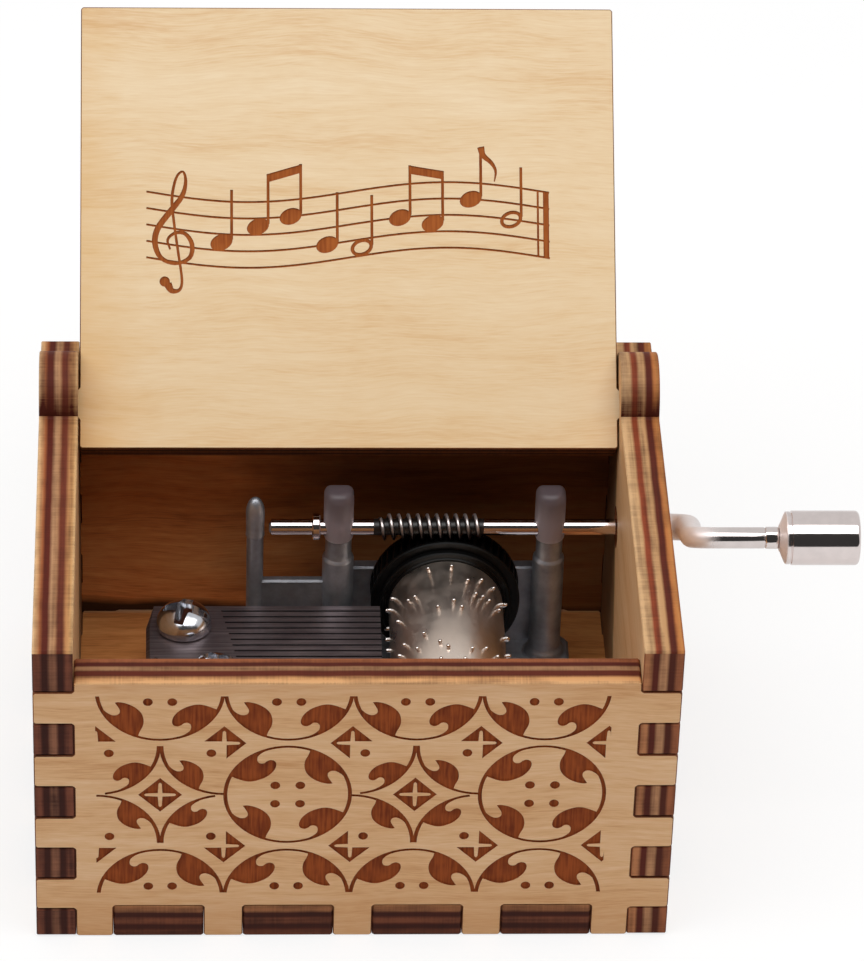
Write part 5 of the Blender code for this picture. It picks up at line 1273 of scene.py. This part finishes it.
# The crimp's jaws leave four shallow flats.
squeezed = (line[:, 0] > CRIMP) & (line[:, 0] < CRIMP_END) & (line[:, 1] > ARM_LENGTH - 0.1)
press = 1 - 0.07 * np.cos(2 * angles) ** 8
rings[squeezed] = middle[squeezed][:, None] + (rings[squeezed] - middle[squeezed][:, None]) * press
rings = np.concatenate([middle[:1, None] + 0 * rings[:1], rings, middle[-1:, None] + 0 * rings[-1:]])
bent = plated("steel, nickel plated, dull at the bend", "#F0E6E3", "#E0D5D2", 0.1, 700.0,
              (35.6, 37.4))
piece = put("arm", skin(rings), [bent], 40)
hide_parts("crank_arm")
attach(piece, "crank")

pin = [(40.8, 0), (40.8, 0.7), (50.47, 0.7), (50.47, 1.35), (50.55, 1.45), (50.7, 1.45),
       (50.85, 1.35), (50.95, 1.1), (50.97, 0)]
piece = put("knob_pin", turned(pin, "X", (0, *GRIP), 40), [bright], 35)
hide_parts("grip_pin")
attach(piece, "crank")


# Knob
# Turned steel, nickel plated, loose on its pin. The nose is a short cone, and the rivet's head sits
# in a counterbore at the outer end.
KNOB_START, KNOB_END, KNOB_RADIUS, KNOB_RIM = 43.31, 51.41, 2.78, 0.4
KNOB_BORE, COUNTERBORE, COUNTERBORE_DEEP = 0.78, 1.75, 1.0

nose = [(0.0, KNOB_BORE), (0.0, 1.35), (0.08, 1.45), (0.5, 2.45), (0.62, 2.66), (0.75, 2.7),
        (1.02, 2.7), (1.06, 2.64), (1.12, 2.64), (1.2, 2.76), (1.3, KNOB_RADIUS)]
knob = [(KNOB_START + along, radius) for along, radius in nose] + [(KNOB_END - KNOB_RIM, KNOB_RADIUS)]
rim = np.radians(np.linspace(15, 90, 6))
knob += list(zip(KNOB_END - KNOB_RIM + KNOB_RIM * np.sin(rim),
                 KNOB_RADIUS - KNOB_RIM + KNOB_RIM * np.cos(rim)))
knob += [(KNOB_END, COUNTERBORE + 0.1), (KNOB_END - 0.1, COUNTERBORE),
         (KNOB_END - COUNTERBORE_DEEP, COUNTERBORE), (KNOB_END - COUNTERBORE_DEEP, KNOB_BORE)]
polished = plated("steel, nickel plated, dull at the nose", "#F2E6E3", "#E4D9D6", 0.08, 700.0,
                  (KNOB_START + 0.6, KNOB_START + 0.8))
piece = put("knob_grip", turned(knob + knob[:1], "X", (0, *GRIP), 96), [polished], 35)
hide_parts("crank_knob")
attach(piece, "knob")


# Floor, light and camera
# A plain white table under one wide softbox, in a pale room whose front is dark, which gives the
# bright metal its black bands. The camera stands where the photograph's did. Only the table and the
# lamp are sized and placed in metres.
TABLE_HALF, TABLE_Z = 3.0, -0.03 * MM
KEY_PLACE, KEY_AIM = (-0.15, -0.24, 0.8), (-0.15, -0.2, 0.0)
KEY_WIDE, KEY_DEEP, KEY_WATTS = 1.7, 0.55, 7.2
YAW, PITCH, ROLL = 0.056633, 0.649316, 0.034985
EYE = Vector((-18.362, -465.016, 391.882)) * MM
FOCAL_LENGTH, SENSOR_WIDTH = 216.17, 36.0

paper, tree, shader = finish("paper, white", Base_Color=colour("#F4F4F4"), Roughness=0.9)
# The camera and all that mirrors or lets light through see it as seven tenths glowing paper, so the
# shadows on it stay faint.
ray = add(tree, "ShaderNodeLightPath").outputs
glowing = add(tree, "ShaderNodeMapRange", {"Value": ray["Is Camera Ray"], "To Min": 0.74, "To Max": 1.03})
glow = add(tree, "ShaderNodeEmission", {"Color": (1, 1, 1, 1), "Strength": glowing.outputs[0]})
seen = add(tree, "ShaderNodeMath", {0: ray["Is Camera Ray"], 1: ray["Is Glossy Ray"]}, operation="MAXIMUM")
seen = add(tree, "ShaderNodeMath", {0: seen.outputs[0], 1: ray["Is Transmission Ray"]}, operation="MAXIMUM")
seen = add(tree, "ShaderNodeMath", {0: seen.outputs[0], 1: 0.7}, operation="MULTIPLY")
output = tree.nodes["Material Output"]
both = add(tree, "ShaderNodeMixShader", {0: seen.outputs[0], 1: shader.outputs[0], 2: glow.outputs[0]})
tree.links.new(both.outputs[0], output.inputs["Surface"])
table = bpy.data.meshes.new("table")
corners = [(x * TABLE_HALF, y * TABLE_HALF, TABLE_Z) for x, y in ((-1, -1), (1, -1), (1, 1), (-1, 1))]
table.from_pydata(corners, [], [(0, 1, 2, 3)])
table.materials.append(paper)
table = bpy.data.objects.new("table", table)
bpy.context.scene.collection.objects.link(table)

world = bpy.data.worlds.new("studio")
bpy.context.scene.world = world
world.use_nodes = True
tree = world.node_tree
way = add(tree, "ShaderNodeTexCoord").outputs["Generated"]
way = add(tree, "ShaderNodeSeparateXYZ", {0: way}).outputs
ahead = add(tree, "ShaderNodeMapRange", {"Value": way[1], "From Min": -0.25, "From Max": -0.5},
            interpolation_type="SMOOTHSTEP")
low = add(tree, "ShaderNodeMapRange", {"Value": way[2], "From Min": 0.86, "From Max": 0.8},
          interpolation_type="SMOOTHSTEP")
dim = add(tree, "ShaderNodeMath", {0: ahead.outputs[0], 1: low.outputs[0]}, operation="MULTIPLY")
level = add(tree, "ShaderNodeMapRange", {"Value": dim.outputs[0], "To Min": 0.68, "To Max": 0.04})
camera_ray = add(tree, "ShaderNodeLightPath").outputs["Is Camera Ray"]
level = add(tree, "ShaderNodeMath", {0: level.outputs[0], 1: camera_ray}, operation="MAXIMUM")
tree.links.new(level.outputs[0], tree.nodes["Background"].inputs["Strength"])
tree.nodes["Background"].inputs["Color"].default_value = (1, 1, 1, 1)

lamp = bpy.data.lights.new("key", "AREA")
lamp.shape, lamp.size, lamp.size_y, lamp.energy = "RECTANGLE", KEY_WIDE, KEY_DEEP, KEY_WATTS
key = bpy.data.objects.new("key", lamp)
key.location = KEY_PLACE
key.rotation_euler = (Vector(KEY_PLACE) - Vector(KEY_AIM)).to_track_quat("Z", "Y").to_euler()
key.visible_camera = False
bpy.context.scene.collection.objects.link(key)

ahead = Vector((math.sin(YAW) * math.cos(PITCH), math.cos(YAW) * math.cos(PITCH), -math.sin(PITCH)))
right = Vector((math.cos(YAW), -math.sin(YAW), 0))
up = right.cross(ahead)
turned_right = math.cos(ROLL) * right + math.sin(ROLL) * up
turned_up = math.cos(ROLL) * up - math.sin(ROLL) * right
lens = bpy.data.cameras.new("camera")
lens.lens, lens.sensor_width = FOCAL_LENGTH, SENSOR_WIDTH
camera = bpy.data.objects.new("camera", lens)
bpy.context.scene.collection.objects.link(camera)
facing = Matrix((turned_right, turned_up, -ahead)).transposed()
camera.matrix_world = Matrix.Translation(EYE) @ facing.to_4x4()
bpy.context.scene.camera = camera
bpy.context.scene.view_settings.view_transform = "Standard"
